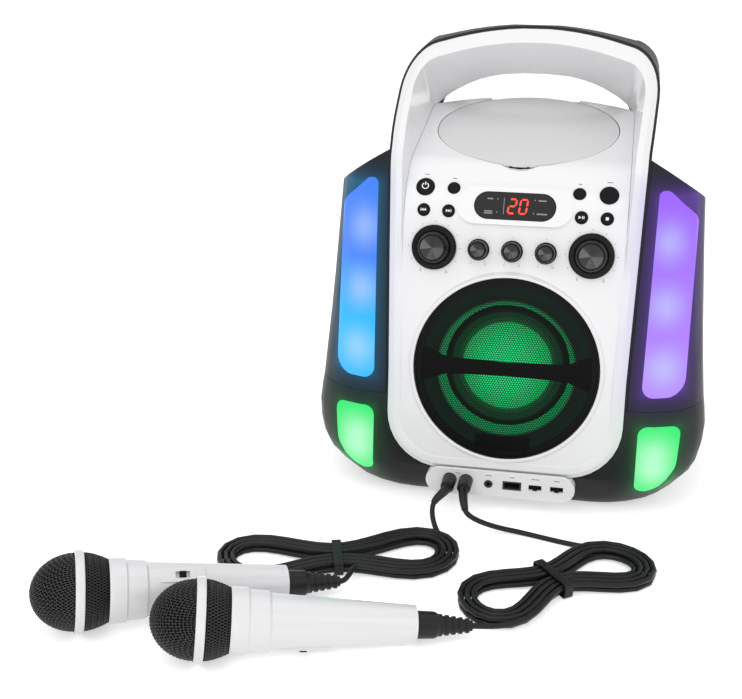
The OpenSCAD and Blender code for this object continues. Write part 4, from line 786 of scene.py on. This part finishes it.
class MakeDiscTray(bpy.types.Operator):
    """Finishes the disc lid, its well and the drive under it"""
    bl_idname = "karaoke.disc_tray"
    bl_label = "Disc tray"

    def execute(self, context):
        dress_all(("cd_lid", "lid", 0.25, 30, 2), ("cd_well", "inner", 0.3, 30, 2),
                  ("turntable", "trim", 0.2, 30, 2), ("laser_sled", "inner", 0.15, 30, 1),
                  ("sled_gear", "gear", 0.0), ("mechanism_chassis", "chassis", 0.2, 30, 1),
                  ("disc_motors", "metal", 0.2, 30, 1))
        self.lens()
        self.clamp_balls()
        self.painted_gap_shadow()
        return {"FINISHED"}

    def painted_gap_shadow(self):
        """A painted shadow: a dark crescent sheet under the lid's front edge, over its catch, where the gap
        lies in shade.
        """
        half = 8.2
        outline = [(half - half * k / 8, -2.05 - 2.1 * (1 - (1 - k / 8) ** 2)) for k in range(17)]
        place = on_deck() @ Matrix.Translation((0, -74.62, 0)) @ Matrix.Rotation(math.radians(90), 4, "X")
        # A thin dark sheet as painted shadow where the gap under the lid's edge is in shade.
        shape_piece("painted_gap_shadow", [outline], place, "lid", F["trim"], 0.12, 0.0)

    def lens(self):
        """The glass eye on the sled."""
        deck = on_deck()
        verts, faces = [], []
        rings, sides = 6, 32
        for i in range(rings):
            a = math.radians(90 * i / (rings - 1))
            r, z = 2.6 * math.cos(a), -14.6 + 1.1 * math.sin(a)
            verts += [(x, y, z) for x, y in disc_outline(r, sides, 0, -24)]
        for i in range(rings - 1):
            for k in range(sides):
                faces.append((i * sides + k, i * sides + (k + 1) % sides, (i + 1) * sides + (k + 1) % sides,
                              (i + 1) * sides + k))
        faces.append(tuple(reversed(range(sides))))
        me = plain_mesh("disc_lens", verts, faces, smooth=True)
        me.transform(deck)
        piece("disc_lens", me, "sled", F["window"])

    def clamp_balls(self):
        """Three sprung balls that grip the disc's hole."""
        deck = on_deck()
        bm = bmesh.new()
        for k in range(3):
            a = math.radians(90 + 120 * k)
            bmesh.ops.create_icosphere(bm, subdivisions=2, radius=0.9,
                                       matrix=Matrix.Translation((6.9 * math.cos(a), 6.9 * math.sin(a),
                                                                  -11.2)))
        me = bpy.data.meshes.new("disc_clamp_balls")
        bm.to_mesh(me)
        bm.free()
        me.shade_smooth()
        me.transform(deck)
        piece("disc_clamp_balls", me, "spindle", F["metal"])


def pattern_tree(name, numbers):
    """A geometry tree that takes numbers and a finish: the tree, what it is given, and its maths."""
    tree = bpy.data.node_groups.new(name, "GeometryNodeTree")
    for label, value in numbers:
        tree.interface.new_socket(label, in_out="INPUT", socket_type="NodeSocketFloat").default_value = value
    tree.interface.new_socket("Finish", in_out="INPUT", socket_type="NodeSocketMaterial")
    tree.interface.new_socket("Geometry", in_out="OUTPUT", socket_type="NodeSocketGeometry")

    def m(operation, a, b=0.0):
        return maths(tree, operation, a, b)

    return tree, tree.nodes.new("NodeGroupInput").outputs, m


def finish_pattern(tree, shape, finish):
    """Paints a tree's shape and puts it out."""
    paint = put(tree, "GeometryNodeSetMaterial", Geometry=shape, Material=finish)
    tree.links.new(paint.outputs[0], tree.nodes.new("NodeGroupOutput").inputs[0])
    return tree


def perforated_tree():
    """A disc of hexagonal cells, each with a round-cornered hole, on the XY plane in millimetres."""
    tree, given, m = pattern_tree("Perforated disc", (("Pitch", 1.5), ("Hole share", 0.62), ("Radius", 67.4)))
    pitch, share, radius = given["Pitch"], given["Hole share"], given["Radius"]
    ring = put(tree, "GeometryNodeMeshCircle", Vertices=6, Radius=m("DIVIDE", pitch, math.sqrt(3)))
    # one cell: the ring extruded inwards to the hole's edge
    shrink = put(tree, "ShaderNodeVectorMath", {"operation": "SCALE"}, Scale=m("SUBTRACT", share, 1.0),
                 i0=tree.nodes.new("GeometryNodeInputPosition").outputs[0])
    cell = put(tree, "GeometryNodeExtrudeMesh", {"mode": "EDGES"}, Mesh=ring.outputs[0],
               Offset=shrink.outputs[0],
               Offset_Scale=1.0)
    # the centres of the cells
    row_pitch = m("MULTIPLY", pitch, math.sqrt(3) / 2)
    count = m("MULTIPLY", m("CEIL", m("DIVIDE", radius, pitch)), 2.0)
    rows = m("MULTIPLY", m("CEIL", m("DIVIDE", radius, row_pitch)), 2.0)
    grid = put(tree, "GeometryNodeMeshGrid", Size_X=m("MULTIPLY", m("SUBTRACT", count, 1.0), pitch),
               Size_Y=m("MULTIPLY", m("SUBTRACT", rows, 1.0), row_pitch), Vertices_X=count, Vertices_Y=rows)
    odd = m("MODULO", m("MODULO", tree.nodes.new("GeometryNodeInputIndex").outputs[0], rows), 2.0)
    shift = put(tree, "ShaderNodeCombineXYZ", X=m("MULTIPLY", m("MULTIPLY", odd, pitch), 0.5), Y=0.0, Z=0.0)
    move = put(tree, "GeometryNodeSetPosition", Geometry=grid.outputs["Mesh"], Offset=shift.outputs[0])
    far = put(tree, "ShaderNodeVectorMath", {"operation": "LENGTH"},
              i0=tree.nodes.new("GeometryNodeInputPosition").outputs[0]).outputs["Value"]
    limit = m("SUBTRACT", radius, m("MULTIPLY", pitch, 0.45))
    inside = put(tree, "GeometryNodeDeleteGeometry", {"domain": "POINT"}, Geometry=move.outputs[0],
                 Selection=m("GREATER_THAN", far, limit))
    spread = put(tree, "GeometryNodeInstanceOnPoints", Points=inside.outputs[0],
                 Instance=cell.outputs["Mesh"],
                 Rotation=(0, 0, math.radians(30)))
    real = put(tree, "GeometryNodeRealizeInstances", i0=spread.outputs[0])
    weld = put(tree, "GeometryNodeMergeByDistance", Geometry=real.outputs[0], Distance=0.02)
    return finish_pattern(tree, weld.outputs[0], given["Finish"])


def grown_mesh(name, tree, values):
    """Runs a geometry tree on an empty mesh and gives back its result."""
    obj = bpy.data.objects.new(name, bpy.data.meshes.new(name))
    bpy.context.scene.collection.objects.link(obj)
    mod = obj.modifiers.new("Pattern", "NODES")
    mod.node_group = tree
    for item in tree.interface.items_tree:
        if item.in_out == "INPUT" and item.name in values:
            mod[item.identifier] = values[item.name]
    obj = settle(obj)
    me = obj.data
    bpy.data.objects.remove(obj)
    return me


class MakeSpeaker(bpy.types.Operator):
    """Punches the grille's holes and lights the driver behind them"""
    bl_idname = "karaoke.speaker"
    bl_label = "Speaker"

    def execute(self, context):
        sizes = context.scene.grille_sizes
        dressed("grille_frame", F["trim"], 0.25, 30, 2)
        me = grown_mesh("grille_holes", perforated_tree(), {
            "Pitch": sizes.pitch / MM, "Hole share": sizes.share, "Radius": GRILLE_RADIUS,
            "Finish": F["wire"]})
        bm = bmesh.new()
        bm.from_mesh(me)
        for f in bm.faces:
            f.normal_update()
            if f.normal.z < 0:
                f.normal_flip()
        # a rim that closes the disc against the frame
        sides = 96
        outer, inner = ([bm.verts.new((x, y, 0)) for x, y in disc_outline(r, sides)] for r in GRILLE_RIM)
        for k in range(sides):
            n = (k + 1) % sides
            bm.faces.new((outer[k], outer[n], inner[n], inner[k]))
        for v in bm.verts:
            v.co.z += GRILLE_LIFT
        bm.to_mesh(me)
        bm.free()
        me.transform(on_panel(0, SPEAKER_Z))
        piece("grille_holes", me, "machine", F["wire"], node="grille_mesh")
        dress_all(("speaker_cone", "cone", 0.2, 30, 2), ("speaker_surround", "surround", 0.15, 30, 2),
                  ("speaker_frame", "basket", 0.3, 30, 2))
        wear("speaker_magnet", F["chassis"])
        return {"FINISHED"}


def disc_outline(radius, count=40, x=0.0, y=0.0):
    return [(x + radius * math.cos(2 * math.pi * k / count), y + radius * math.sin(2 * math.pi * k / count))
            for k in range(count)]


def arc_band(radius, width, start, stop, count=28, x=0.0, y=0.0):
    """Quads along an arc, angles in degrees."""
    quads = []
    for k in range(count):
        a, b = (math.radians(start + (stop - start) * t / count) for t in (k, k + 1))
        quads.append([(x + r * math.cos(t), y + r * math.sin(t)) for r, t in
                      ((radius, a), (radius + width, a), (radius + width, b), (radius, b))])
    return quads


def box_outline(x, y, w, h):
    return [(x - w / 2, y - h / 2), (x + w / 2, y - h / 2), (x + w / 2, y + h / 2), (x - w / 2, y + h / 2)]


class MakeControls(bpy.types.Operator):
    """Finishes the buttons with their signs, the knobs with their turned caps, and the switches"""
    bl_idname = "karaoke.controls"
    bl_label = "Buttons, knobs and switches"

    def execute(self, context):
        signs = {
            "power_button": (-71.5, UPPER_Z, arc_band(2.1, 0.75, 120, 420) + [box_outline(0, 2.1, 0.8, 2.9)]),
            "previous_button": (-71.2, LOWER_Z, [box_outline(-2.1, 0, 0.5, 2.3),
                                                 [(-1.9, 0), (0, -1.15), (0, 1.15)],
                                                 [(0.0, 0), (1.9, -1.15), (1.9, 1.15)]]),
            "next_button": (-51.6, LOWER_Z, [box_outline(2.1, 0, 0.5, 2.3), [(1.9, 0), (0, 1.15), (0, -1.15)],
                                             [(0.0, 0), (-1.9, 1.15), (-1.9, -1.15)]]),
            "play_button": (51.6, LOWER_Z, [[(-2.2, 1.2), (-2.2, -1.2), (-0.1, 0)],
                                            box_outline(0.75, 0, 0.6, 2.3),
                                            box_outline(1.9, 0, 0.6, 2.3)]),
            "stop_button": (71.2, LOWER_Z, [box_outline(0, 0, 2.3, 2.3)]),
        }
        for node, (x, z, outlines) in signs.items():
            dressed(node, F["button"], 0.25, 30, 2)
            shape_piece(node.replace("_button", "_sign"), outlines, on_panel(x, z), node, F["mark"],
                        thickness=0.06, lift=BUTTON_TOP - 0.01)
        for node in ("repeat_button", "program_button", "light_button"):
            dressed(node, F["button"], 0.25, 30, 2)
        for node, x in KNOB_PLACES.items():
            big = "volume" in node
            dressed(node, F["knob"], 0.3, 30, 2)
            self.cap(node, x, 9.2 if big else 5.4, 14.0 if big else 11.0)
        for node in ("function_switch", "light_switch"):
            dressed(node, F["trim"], 0.15, 30, 2)
        return {"FINISHED"}

    def cap(self, node, x, radius, height):
        """A slightly hollow turned disc, with U round it and V outwards in its UV map."""
        sides, rings = 72, 5
        verts, faces, uvs = [(0, 0, height + 0.02)], [], []
        for i in range(1, rings + 1):
            r = radius * i / rings
            z = height + 0.04 + (0.22 if i == rings else 0.12 * (i / rings) ** 2)
            verts += [(px, py, z) for px, py in disc_outline(r, sides)]
        for k in range(sides):
            n = (k + 1) % sides
            faces.append((0, 1 + k, 1 + n))
            uvs.append([((k + 0.5) / sides, 0), (k / sides, 1 / rings), ((k + 1) / sides, 1 / rings)])
        for i in range(rings - 1):
            for k in range(sides):
                n = (k + 1) % sides
                a, b = 1 + i * sides, 1 + (i + 1) * sides
                faces.append((a + k, b + k, b + n, a + n))
                uvs.append([(k / sides, (i + 1) / rings), (k / sides, (i + 2) / rings),
                            ((k + 1) / sides, (i + 2) / rings),
                            ((k + 1) / sides, (i + 1) / rings)])
        base = len(verts)
        verts += [(px, py, height - 0.05) for px, py in disc_outline(radius, sides)]
        last = 1 + (rings - 1) * sides
        for k in range(sides):
            n = (k + 1) % sides
            faces.append((last + k, base + k, base + n, last + n))
            uvs.append([(k / sides, 1), (k / sides, 1), ((k + 1) / sides, 1), ((k + 1) / sides, 1)])
        faces.append(tuple(base + k for k in reversed(range(sides))))
        uvs.append([(k / sides, 1) for k in reversed(range(sides))])
        me = bpy.data.meshes.new(node + "_cap")
        me.from_pydata(verts, [], faces)
        layer = me.uv_layers.new(name="Turned")
        flat = [uv for face in uvs for uv in face]
        for loop, uv in zip(layer.data, flat):
            loop.uv = uv
        me.transform(on_panel(x, KNOB_Z))
        me.shade_smooth()
        obj = piece(node + "_cap", me, node, F["spun"])
        sharp_edges(obj.data, 40)


class MakeMarks(bpy.types.Operator):
    """Prints plain scale marks and numbers beside the knobs and a bar over each button"""
    bl_idname = "karaoke.marks"
    bl_label = "Printed marks"

    def execute(self, context):
        outlines = []
        for x, count, step, dot, reach in ((-61.3, 11, 30, 0.38, 20.3), (61.3, 11, 30, 0.38, 20.3),
                                           (-26.2, 7, 50, 0.3, 10.6), (0.0, 7, 50, 0.3, 10.6),
                                           (26.2, 7, 50, 0.3, 10.6)):
            for k in range(count):
                a = math.radians(240 - step * k)
                outlines.append(disc_outline(dot, 10, x + reach * math.cos(a), reach * math.sin(a)))
        shape_piece("knob_scales", outlines, on_panel(0, KNOB_Z), "machine", F["ink"], 0.05,
                    0.0)
        for n, (x, z, w) in enumerate(((-71.5, UPPER_Z, 7.5), (-48.9, UPPER_Z, 6.5), (48.9, UPPER_Z, 5),
                                       (71.5, UPPER_Z, 9))):
            lift = 10.4 if abs(x) > 60 else 8.0
            shape_piece("button_bar_%d" % (n + 1), [box_outline(0, 0, w * 0.5, 0.7)],
                        on_panel(x, z + lift * math.cos(math.radians(panel_lean(z)))), "machine", F["ink"],
                        0.05, 0.0)
        self.numbers()
        sockets = []
        for x, w in ((-34.0, 4.2), (-9.1, 5.5), (10.0, 4.0), (28.7, 6.5), (46.0, 4.6)):
            sockets.append(box_outline(x, 32.4, w, 0.6))
        place = (Matrix.Translation(Vector((0, -109.0, 0)) * MM)
                 @ Matrix.Rotation(math.radians(90), 4, "X") @ Matrix.Scale(MM, 4))
        shape_piece("socket_bars", sockets, place, "machine", F["ink"], 0.05, 0.0)
        return {"FINISHED"}

    def numbers(self):
        """0 and 10 at the ends of each knob's scale."""
        parts = []
        for x, reach, size in ((-61.3, 20.6, 2.6), (-26.2, 11.6, 2.0), (0, 11.6, 2.0), (26.2, 11.6, 2.0),
                               (61.3, 20.6, 2.6)):
            for word, a in (("0", -118), ("10", -62)):
                text = bpy.data.curves.new("number", "FONT")
                text.body = word
                text.size = size
                text.align_x = "CENTER"
                text.align_y = "CENTER"
                text.resolution_u = 2
                obj = bpy.data.objects.new("number", text)
                bpy.context.scene.collection.objects.link(obj)
                obj = settle(obj)
                obj.data.transform(Matrix.Translation((x + reach * math.cos(math.radians(a)) * 1.05,
                                                       reach * math.sin(math.radians(a)) * 1.02 - 0.6, 0.05)))
                parts.append(obj)
        bm = bmesh.new()
        for obj in parts:
            bm.from_mesh(obj.data)
            bpy.data.objects.remove(obj)
        me = bpy.data.meshes.new("scale_numbers")
        bm.to_mesh(me)
        bm.free()
        me.transform(on_panel(0, KNOB_Z))
        piece("scale_numbers", me, "machine", F["ink"])


class MakeDisplay(bpy.types.Operator):
    """Lights two figures behind the display window, with a line and pilot marks beside them"""
    bl_idname = "karaoke.display"
    bl_label = "Display"

    def execute(self, context):
        dressed("display_window", F["window"], 0.5, 30, 3)
        wear("display_module", F["inner"])
        place = on_panel(0, DISPLAY_Z)
        lit = []
        for x, word in ((-2.1, "abged"), (6.6, "abcdef")):
            lit += [self.segment(x, s) for s in word]
        shape_piece("display_figures", lit, place, "machine", F["segment"], 0.03,
                    WINDOW_FACE)
        shape_piece("display_line", [box_outline(-8.6, 0, 0.45, 13.0)], place, "machine", F["pilot"],
                    0.03, WINDOW_FACE)
        marks = [box_outline(-19.5, 5.3, 4.4, 1.0), box_outline(-20.5, -4.6, 6.2, 0.9),
                 box_outline(-20.5, -6.2, 6.6, 0.9),
                 box_outline(21.0, 5.3, 6.2, 1.0), box_outline(21.2, -5.2, 8.0, 1.0)]
        marks += [disc_outline(0.5, 12, x, y) for x, y in ((-13.6, 5.3), (-13.8, -5.0), (15.2, 5.6),
                                                           (14.6, -4.9))]
        shape_piece("display_pilots", marks[5:] + marks[:5], place, "machine", F["pilot"],
                    0.03, WINDOW_FACE)
        return {"FINISHED"}

    def segment(self, x, which):
        """One bar of a seven bar figure that leans a little."""
        w, h, t = 2.7, 5.6, 0.62
        bars = {"a": (0, h, True), "g": (0, 0, True), "d": (0, -h, True), "f": (-w, h / 2, False),
                "b": (w, h / 2, False),
                "e": (-w, -h / 2, False), "c": (w, -h / 2, False)}
        cx, cy, flat = bars[which]
        if flat:
            half = w - 0.45
            shape = [(-half, 0), (-half + t, -t), (half - t, -t), (half, 0), (half - t, t), (-half + t, t)]
        else:
            half = h / 2 - 0.45
            shape = [(0, -half), (t, -half + t), (t, half - t), (0, half), (-t, half - t), (-t, -half + t)]
        return [(x + cx + px + 0.12 * (cy + py), cy + py) for px, py in shape]


class MakeSockets(bpy.types.Operator):
    """Finishes the jacks, the slot, the switch bodies and the cord ties"""
    bl_idname = "karaoke.sockets"
    bl_label = "Sockets, plugs and ties"

    def execute(self, context):
        dress_all(("sockets", "inner", 0.12, 30, 1), ("cord_ties", "rubber", 0.3, 30, 2))
        verts, faces = [], []
        for n in range(4):
            x = 6.4 + n * 2.4
            a = len(verts)
            for y in (-102.8, -95.0):
                for dx, z in ((-0.5, 24.78), (0.5, 24.78), (0.5, 24.6), (-0.5, 24.6)):
                    verts.append((x + dx, y, z))
            faces += [(a, a + 1, a + 2, a + 3), (a + 7, a + 6, a + 5, a + 4), (a, a + 4, a + 5, a + 1),
                      (a + 1, a + 5, a + 6, a + 2), (a + 2, a + 6, a + 7, a + 3), (a + 3, a + 7, a + 4, a)]
        me = plain_mesh("slot_contacts", verts, faces)
        me.transform(Matrix.Scale(MM, 4))
        face_outwards(me)
        piece("slot_contacts", me, "machine", F["metal"])
        return {"FINISHED"}


def woven_tree():
    """Two crossing sets of wire laid over a ball by arc length, each passing over and under the other."""
    tree, given, m = pattern_tree("Woven ball", (("Pitch", 2.2), ("Wire", 1.1), ("Radius", 26.1),
                                                 ("Reach", 47.0)))

    def xyz(x=0.0, y=0.0, z=0.0):
        return put(tree, "ShaderNodeCombineXYZ", X=x, Y=y, Z=z).outputs[0]

    def row(count, start, step):
        return put(tree, "GeometryNodeMeshLine", {"mode": "OFFSET", "count_mode": "TOTAL"}, Count=count,
                   Start_Location=start, Offset=step).outputs[0]

    pitch, wire, radius, reach = (given[k] for k in ("Pitch", "Wire", "Radius", "Reach"))
    half = m("FLOOR", m("DIVIDE", reach, pitch))
    count = m("ADD", m("MULTIPLY", half, 2.0), 1.0)
    start = m("MULTIPLY", m("MULTIPLY", half, pitch), -1.0)
    join = tree.nodes.new("GeometryNodeJoinGeometry")
    for over in (0.46, -0.46):
        line = row(m("ADD", m("MULTIPLY", half, 4.0), 1.0), xyz(x=start), xyz(x=m("MULTIPLY", pitch, 0.5)))
        seats = row(count, xyz(y=start), xyz(y=pitch))
        spread = put(tree, "GeometryNodeInstanceOnPoints", Points=seats, Instance=line)
        real = put(tree, "GeometryNodeRealizeInstances", i0=spread.outputs[0])
        place = put(tree, "ShaderNodeSeparateXYZ",
                    Vector=tree.nodes.new("GeometryNodeInputPosition").outputs[0])
        x, y = place.outputs["X"], place.outputs["Y"]
        # height of the weave, then the arc mapped round the ball
        phase = m("ADD", m("DIVIDE", x, pitch), m("ROUND", m("DIVIDE", y, pitch)))
        wave = m("COSINE", m("MULTIPLY", phase, math.pi))
        lift = m("MULTIPLY", m("MULTIPLY", wave, wire), over)
        far = m("SQRT", m("ADD", m("MULTIPLY", x, x), m("MULTIPLY", y, y)))
        angle = m("DIVIDE", far, radius)
        size = m("ADD", radius, lift)
        share = m("DIVIDE", m("MULTIPLY", m("SINE", angle), size), m("MAXIMUM", far, 0.001))
        px, py = m("MULTIPLY", x, share), m("MULTIPLY", y, share)
        if over < 0:
            px, py = py, px
        drop = put(tree, "GeometryNodeDeleteGeometry", {"domain": "POINT"}, Geometry=real.outputs[0],
                   Selection=m("GREATER_THAN", far, reach))
        move = put(tree, "GeometryNodeSetPosition", Geometry=drop.outputs[0],
                   Position=xyz(px, py, m("MULTIPLY", m("COSINE", angle), size)))
        curve = put(tree, "GeometryNodeMeshToCurve", Mesh=move.outputs[0])
        ring = put(tree, "GeometryNodeCurvePrimitiveCircle", Resolution=4, Radius=m("MULTIPLY", wire, 0.5))
        skin = put(tree, "GeometryNodeCurveToMesh", Curve=curve.outputs[0], Profile_Curve=ring.outputs[0],
                   Fill_Caps=True)
        tree.links.new(skin.outputs[0], join.inputs[0])
    smooth = put(tree, "GeometryNodeSetShadeSmooth", Geometry=join.outputs[0])
    real = put(tree, "GeometryNodeRealizeInstances", i0=smooth.outputs[0])
    return finish_pattern(tree, real.outputs[0], given["Finish"])


class MakeMicrophones(bpy.types.Operator):
    """Finishes the microphones and weaves the wire over their heads"""
    bl_idname = "karaoke.microphones"
    bl_label = "Microphones"

    def execute(self, context):
        sizes = context.scene.grille_sizes
        dress_all(("mic_bodies", "mic_white", 0.4, 30, 2), ("mic_rings", "mic_white", 0.6, 30, 3),
                  ("mic_reliefs", "rubber", 0.2, 30, 2))
        wear("mic_capsules", F["foam"])
        dress_all(("mic_switch_rear", "trim", 0.2, 30, 2), ("mic_switch_front", "trim", 0.2, 30, 2))
        tree = woven_tree()
        for side, mic in (("rear", REAR_MIC), ("front", FRONT_MIC)):
            place = mic_place(mic)
            # local axis: the body runs along +X from the ring, so the ball's pole points along -X
            turn = Matrix.Translation((-2.0, 0, 0)) @ Matrix.Rotation(math.radians(-90), 4, "Y")
            me = grown_mesh("mic_wire_" + side, tree, {
                "Pitch": sizes.weave / MM, "Wire": sizes.wire / MM, "Radius": HEAD_RADIUS - sizes.wire / MM,
                "Reach": 46.9, "Finish": F["head_wire"]})
            me.transform(place @ turn @ Matrix.Diagonal((1, 1, HEAD_STRETCH, 1)))
            piece("mic_wire_" + side, me, "machine", F["head_wire"], node="mic_grilles")
            self.skirt(side, place, sizes)
            self.pad(side, place)
        return {"FINISHED"}

    def skirt(self, side, place, sizes):
        """The lower basket between the ring and the collar, of straight slanting wires."""
        verts, faces = [], []
        count, rings, sides = 72, 9, 4
        r_wire = sizes.wire / MM * 0.5
        for family in (1, -1):
            for k in range(count):
                start = len(verts)
                for i in range(rings):
                    t = i / (rings - 1)
                    s = 3.4 + 16.9 * t
                    r = HEAD_RADIUS - 0.9 - 5.2 * t ** 1.6 + 0.25 * family * math.cos(math.pi * i)
                    a = 2 * math.pi * k / count + family * 0.35 * t
                    centre = Vector((s, r * math.cos(a), r * math.sin(a)))
                    out = Vector((0, math.cos(a), math.sin(a)))
                    side_way = Vector((0, -math.sin(a), math.cos(a)))
                    for j in range(sides):
                        b = 2 * math.pi * j / sides
                        verts.append(centre + out * r_wire * math.cos(b) + side_way * r_wire * math.sin(b))
                for i in range(rings - 1):
                    for j in range(sides):
                        n = (j + 1) % sides
                        a0, b0 = start + i * sides, start + (i + 1) * sides
                        faces.append((a0 + j, a0 + n, b0 + n, b0 + j))
                faces.append(tuple(start + j for j in reversed(range(sides))))
                faces.append(tuple(start + (rings - 1) * sides + j for j in range(sides)))
        me = plain_mesh("mic_basket_" + side, verts, faces, smooth=True)
        face_outwards(me)
        me.transform(place)
        piece("mic_basket_" + side, me, "machine", F["head_wire"], node="mic_grilles")

    def pad(self, side, place):
        """Foam lining just under the wire."""
        profile = [(-30.9, 0.0)]
        for k in range(1, 15):
            a = math.radians(k * 100 / 14)
            profile.append((-2.0 - 28.9 * math.cos(a), 24.9 * math.sin(a)))
        profile += [(8.0, 23.6), (14.0, 22.0), (20.2, 20.2), (20.2, 0.0)]
        sides = 48
        verts, faces = [(profile[0][0], 0, 0)], []
        for s, r in profile[1:-1]:
            verts += [(s, y, z) for y, z in disc_outline(r, sides)]
        verts.append((profile[-1][0], 0, 0))
        rings = len(profile) - 2
        for k in range(sides):
            n = (k + 1) % sides
            faces.append((0, 1 + n, 1 + k))
            for i in range(rings - 1):
                a, b = 1 + i * sides, 1 + (i + 1) * sides
                faces.append((a + k, a + n, b + n, b + k))
            last = 1 + (rings - 1) * sides
            faces.append((last + k, last + n, len(verts) - 1))
        me = plain_mesh("mic_lining_" + side, verts, faces, smooth=True)
        face_outwards(me)
        me.transform(place)
        piece("mic_lining_" + side, me, "machine", F["foam"], node="mic_grilles")


class MakeStage(bpy.types.Operator):
    """Sets the pale floor, the even room light and two large soft lamps"""
    bl_idname = "karaoke.stage"
    bl_label = "Stage"

    def execute(self, context):
        sizes = context.scene.stage_sizes
        scene = context.scene
        scene.view_settings.view_transform = "Standard"
        me = plain_mesh("floor", [(-4, -4, 0), (4, -4, 0), (4, 4, 0), (-4, 4, 0)], [(0, 1, 2, 3)])
        floor = bpy.data.objects.new("floor", me)
        scene.collection.objects.link(floor)
        me.materials.append(self.paper())
        self.room(scene, sizes.world)
        for name, place, aim, size, power in (
                ("key", (-0.55, -1.15, 1.55), (0, 0, 0.15), 1.5, sizes.key),
                ("fill", (1.3, -0.9, 1.1), (0, 0, 0.15), 1.3, sizes.key * 0.45),
                ("front", (0.0, -1.7, 0.35), (0, 0, 0.25), 1.0, sizes.key * 0.5),
                ("top", (0.0, 0.25, 1.7), (0, 0, 0.2), 1.2, sizes.key * 0.35)):
            lamp = bpy.data.lights.new(name, "AREA")
            lamp.shape = "SQUARE"
            lamp.size = size
            lamp.energy = power
            obj = bpy.data.objects.new(name, lamp)
            scene.collection.objects.link(obj)
            way = Vector(aim) - Vector(place)
            obj.matrix_world = Matrix.Translation(place) @ way.to_track_quat("-Z", "Y").to_matrix().to_4x4()
        return {"FINISHED"}

    def paper(self):
        """White to the eye and in reflections, with the object's shadow left in it."""
        mat = bpy.data.materials.new("Studio paper")
        mat.use_nodes = True
        tree = mat.node_tree
        tree.nodes.clear()
        out = tree.nodes.new("ShaderNodeOutputMaterial")
        lit = put(tree, "ShaderNodeBsdfDiffuse", Color=(0.92, 0.92, 0.92, 1))
        glow = put(tree, "ShaderNodeEmission", Color=(1, 1, 1, 1), Strength=0.5)
        both = put(tree, "ShaderNodeAddShader", i0=lit.outputs[0], i1=glow.outputs[0])
        path = tree.nodes.new("ShaderNodeLightPath")
        seen = maths(tree, "MAXIMUM", path.outputs["Is Camera Ray"], path.outputs["Is Glossy Ray"])
        mix = put(tree, "ShaderNodeMixShader", i0=seen, i1=lit.outputs[0], i2=both.outputs[0])
        tree.links.new(mix.outputs[0], out.inputs["Surface"])
        return mat

    def room(self, scene, strength):
        world = bpy.data.worlds.new("Room")
        scene.world = world
        world.use_nodes = True
        tree = world.node_tree
        tree.nodes.clear()
        out = tree.nodes.new("ShaderNodeOutputWorld")
        path = tree.nodes.new("ShaderNodeLightPath")
        glossy = maths(tree, "MULTIPLY", path.outputs["Is Glossy Ray"], 0.85)
        seen = maths(tree, "MAXIMUM", maths(tree, "MAXIMUM", path.outputs["Is Camera Ray"], glossy),
                     path.outputs["Is Transmission Ray"])
        back = put(tree, "ShaderNodeBackground", Strength=maths(tree, "MAXIMUM", seen, strength),
                   Color=(1, 1, 1, 1))
        tree.links.new(back.outputs[0], out.inputs["Surface"])


class KaraokePanel(bpy.types.Panel):
    """Lists the sizes, the colours and the steps that make the machine"""
    bl_idname = "VIEW3D_PT_karaoke"
    bl_label = "Karaoke machine"
    bl_space_type = "VIEW_3D"
    bl_region_type = "UI"
    bl_category = "Karaoke"

    def draw(self, context):
        for name in ("machine_finish", "grille_sizes", "cord_sizes", "stage_sizes"):
            box = self.layout.box()
            group_of = getattr(context.scene, name)
            for key in type(group_of).__annotations__:
                box.prop(group_of, key)
        for step in STEPS:
            self.layout.operator(step.bl_idname)


STEPS = (MakeCamera, MakeFinishes, MakeCords, MakeShells, MakeDiscTray, MakeDisplay, MakeSpeaker,
         MakeControls, MakeMarks,
         MakeSockets, MakeMicrophones, MakeStage)
SETTINGS = (("machine_finish", MachineFinish), ("grille_sizes", GrilleSizes), ("cord_sizes", CordSizes),
            ("stage_sizes", StageSizes))


def register():
    for kind in [k for _, k in SETTINGS] + list(STEPS) + [KaraokePanel]:
        bpy.utils.register_class(kind)
    for name, kind in SETTINGS:
        setattr(bpy.types.Scene, name, bpy.props.PointerProperty(type=kind))


def unregister():
    for name, kind in SETTINGS:
        delattr(bpy.types.Scene, name)
    for kind in reversed([k for _, k in SETTINGS] + list(STEPS) + [KaraokePanel]):
        bpy.utils.unregister_class(kind)


def main():
    register()
    for step in STEPS:
        area, name = step.bl_idname.split(".")
        getattr(getattr(bpy.ops, area), name)()


if __name__ == "__main__":
    main()
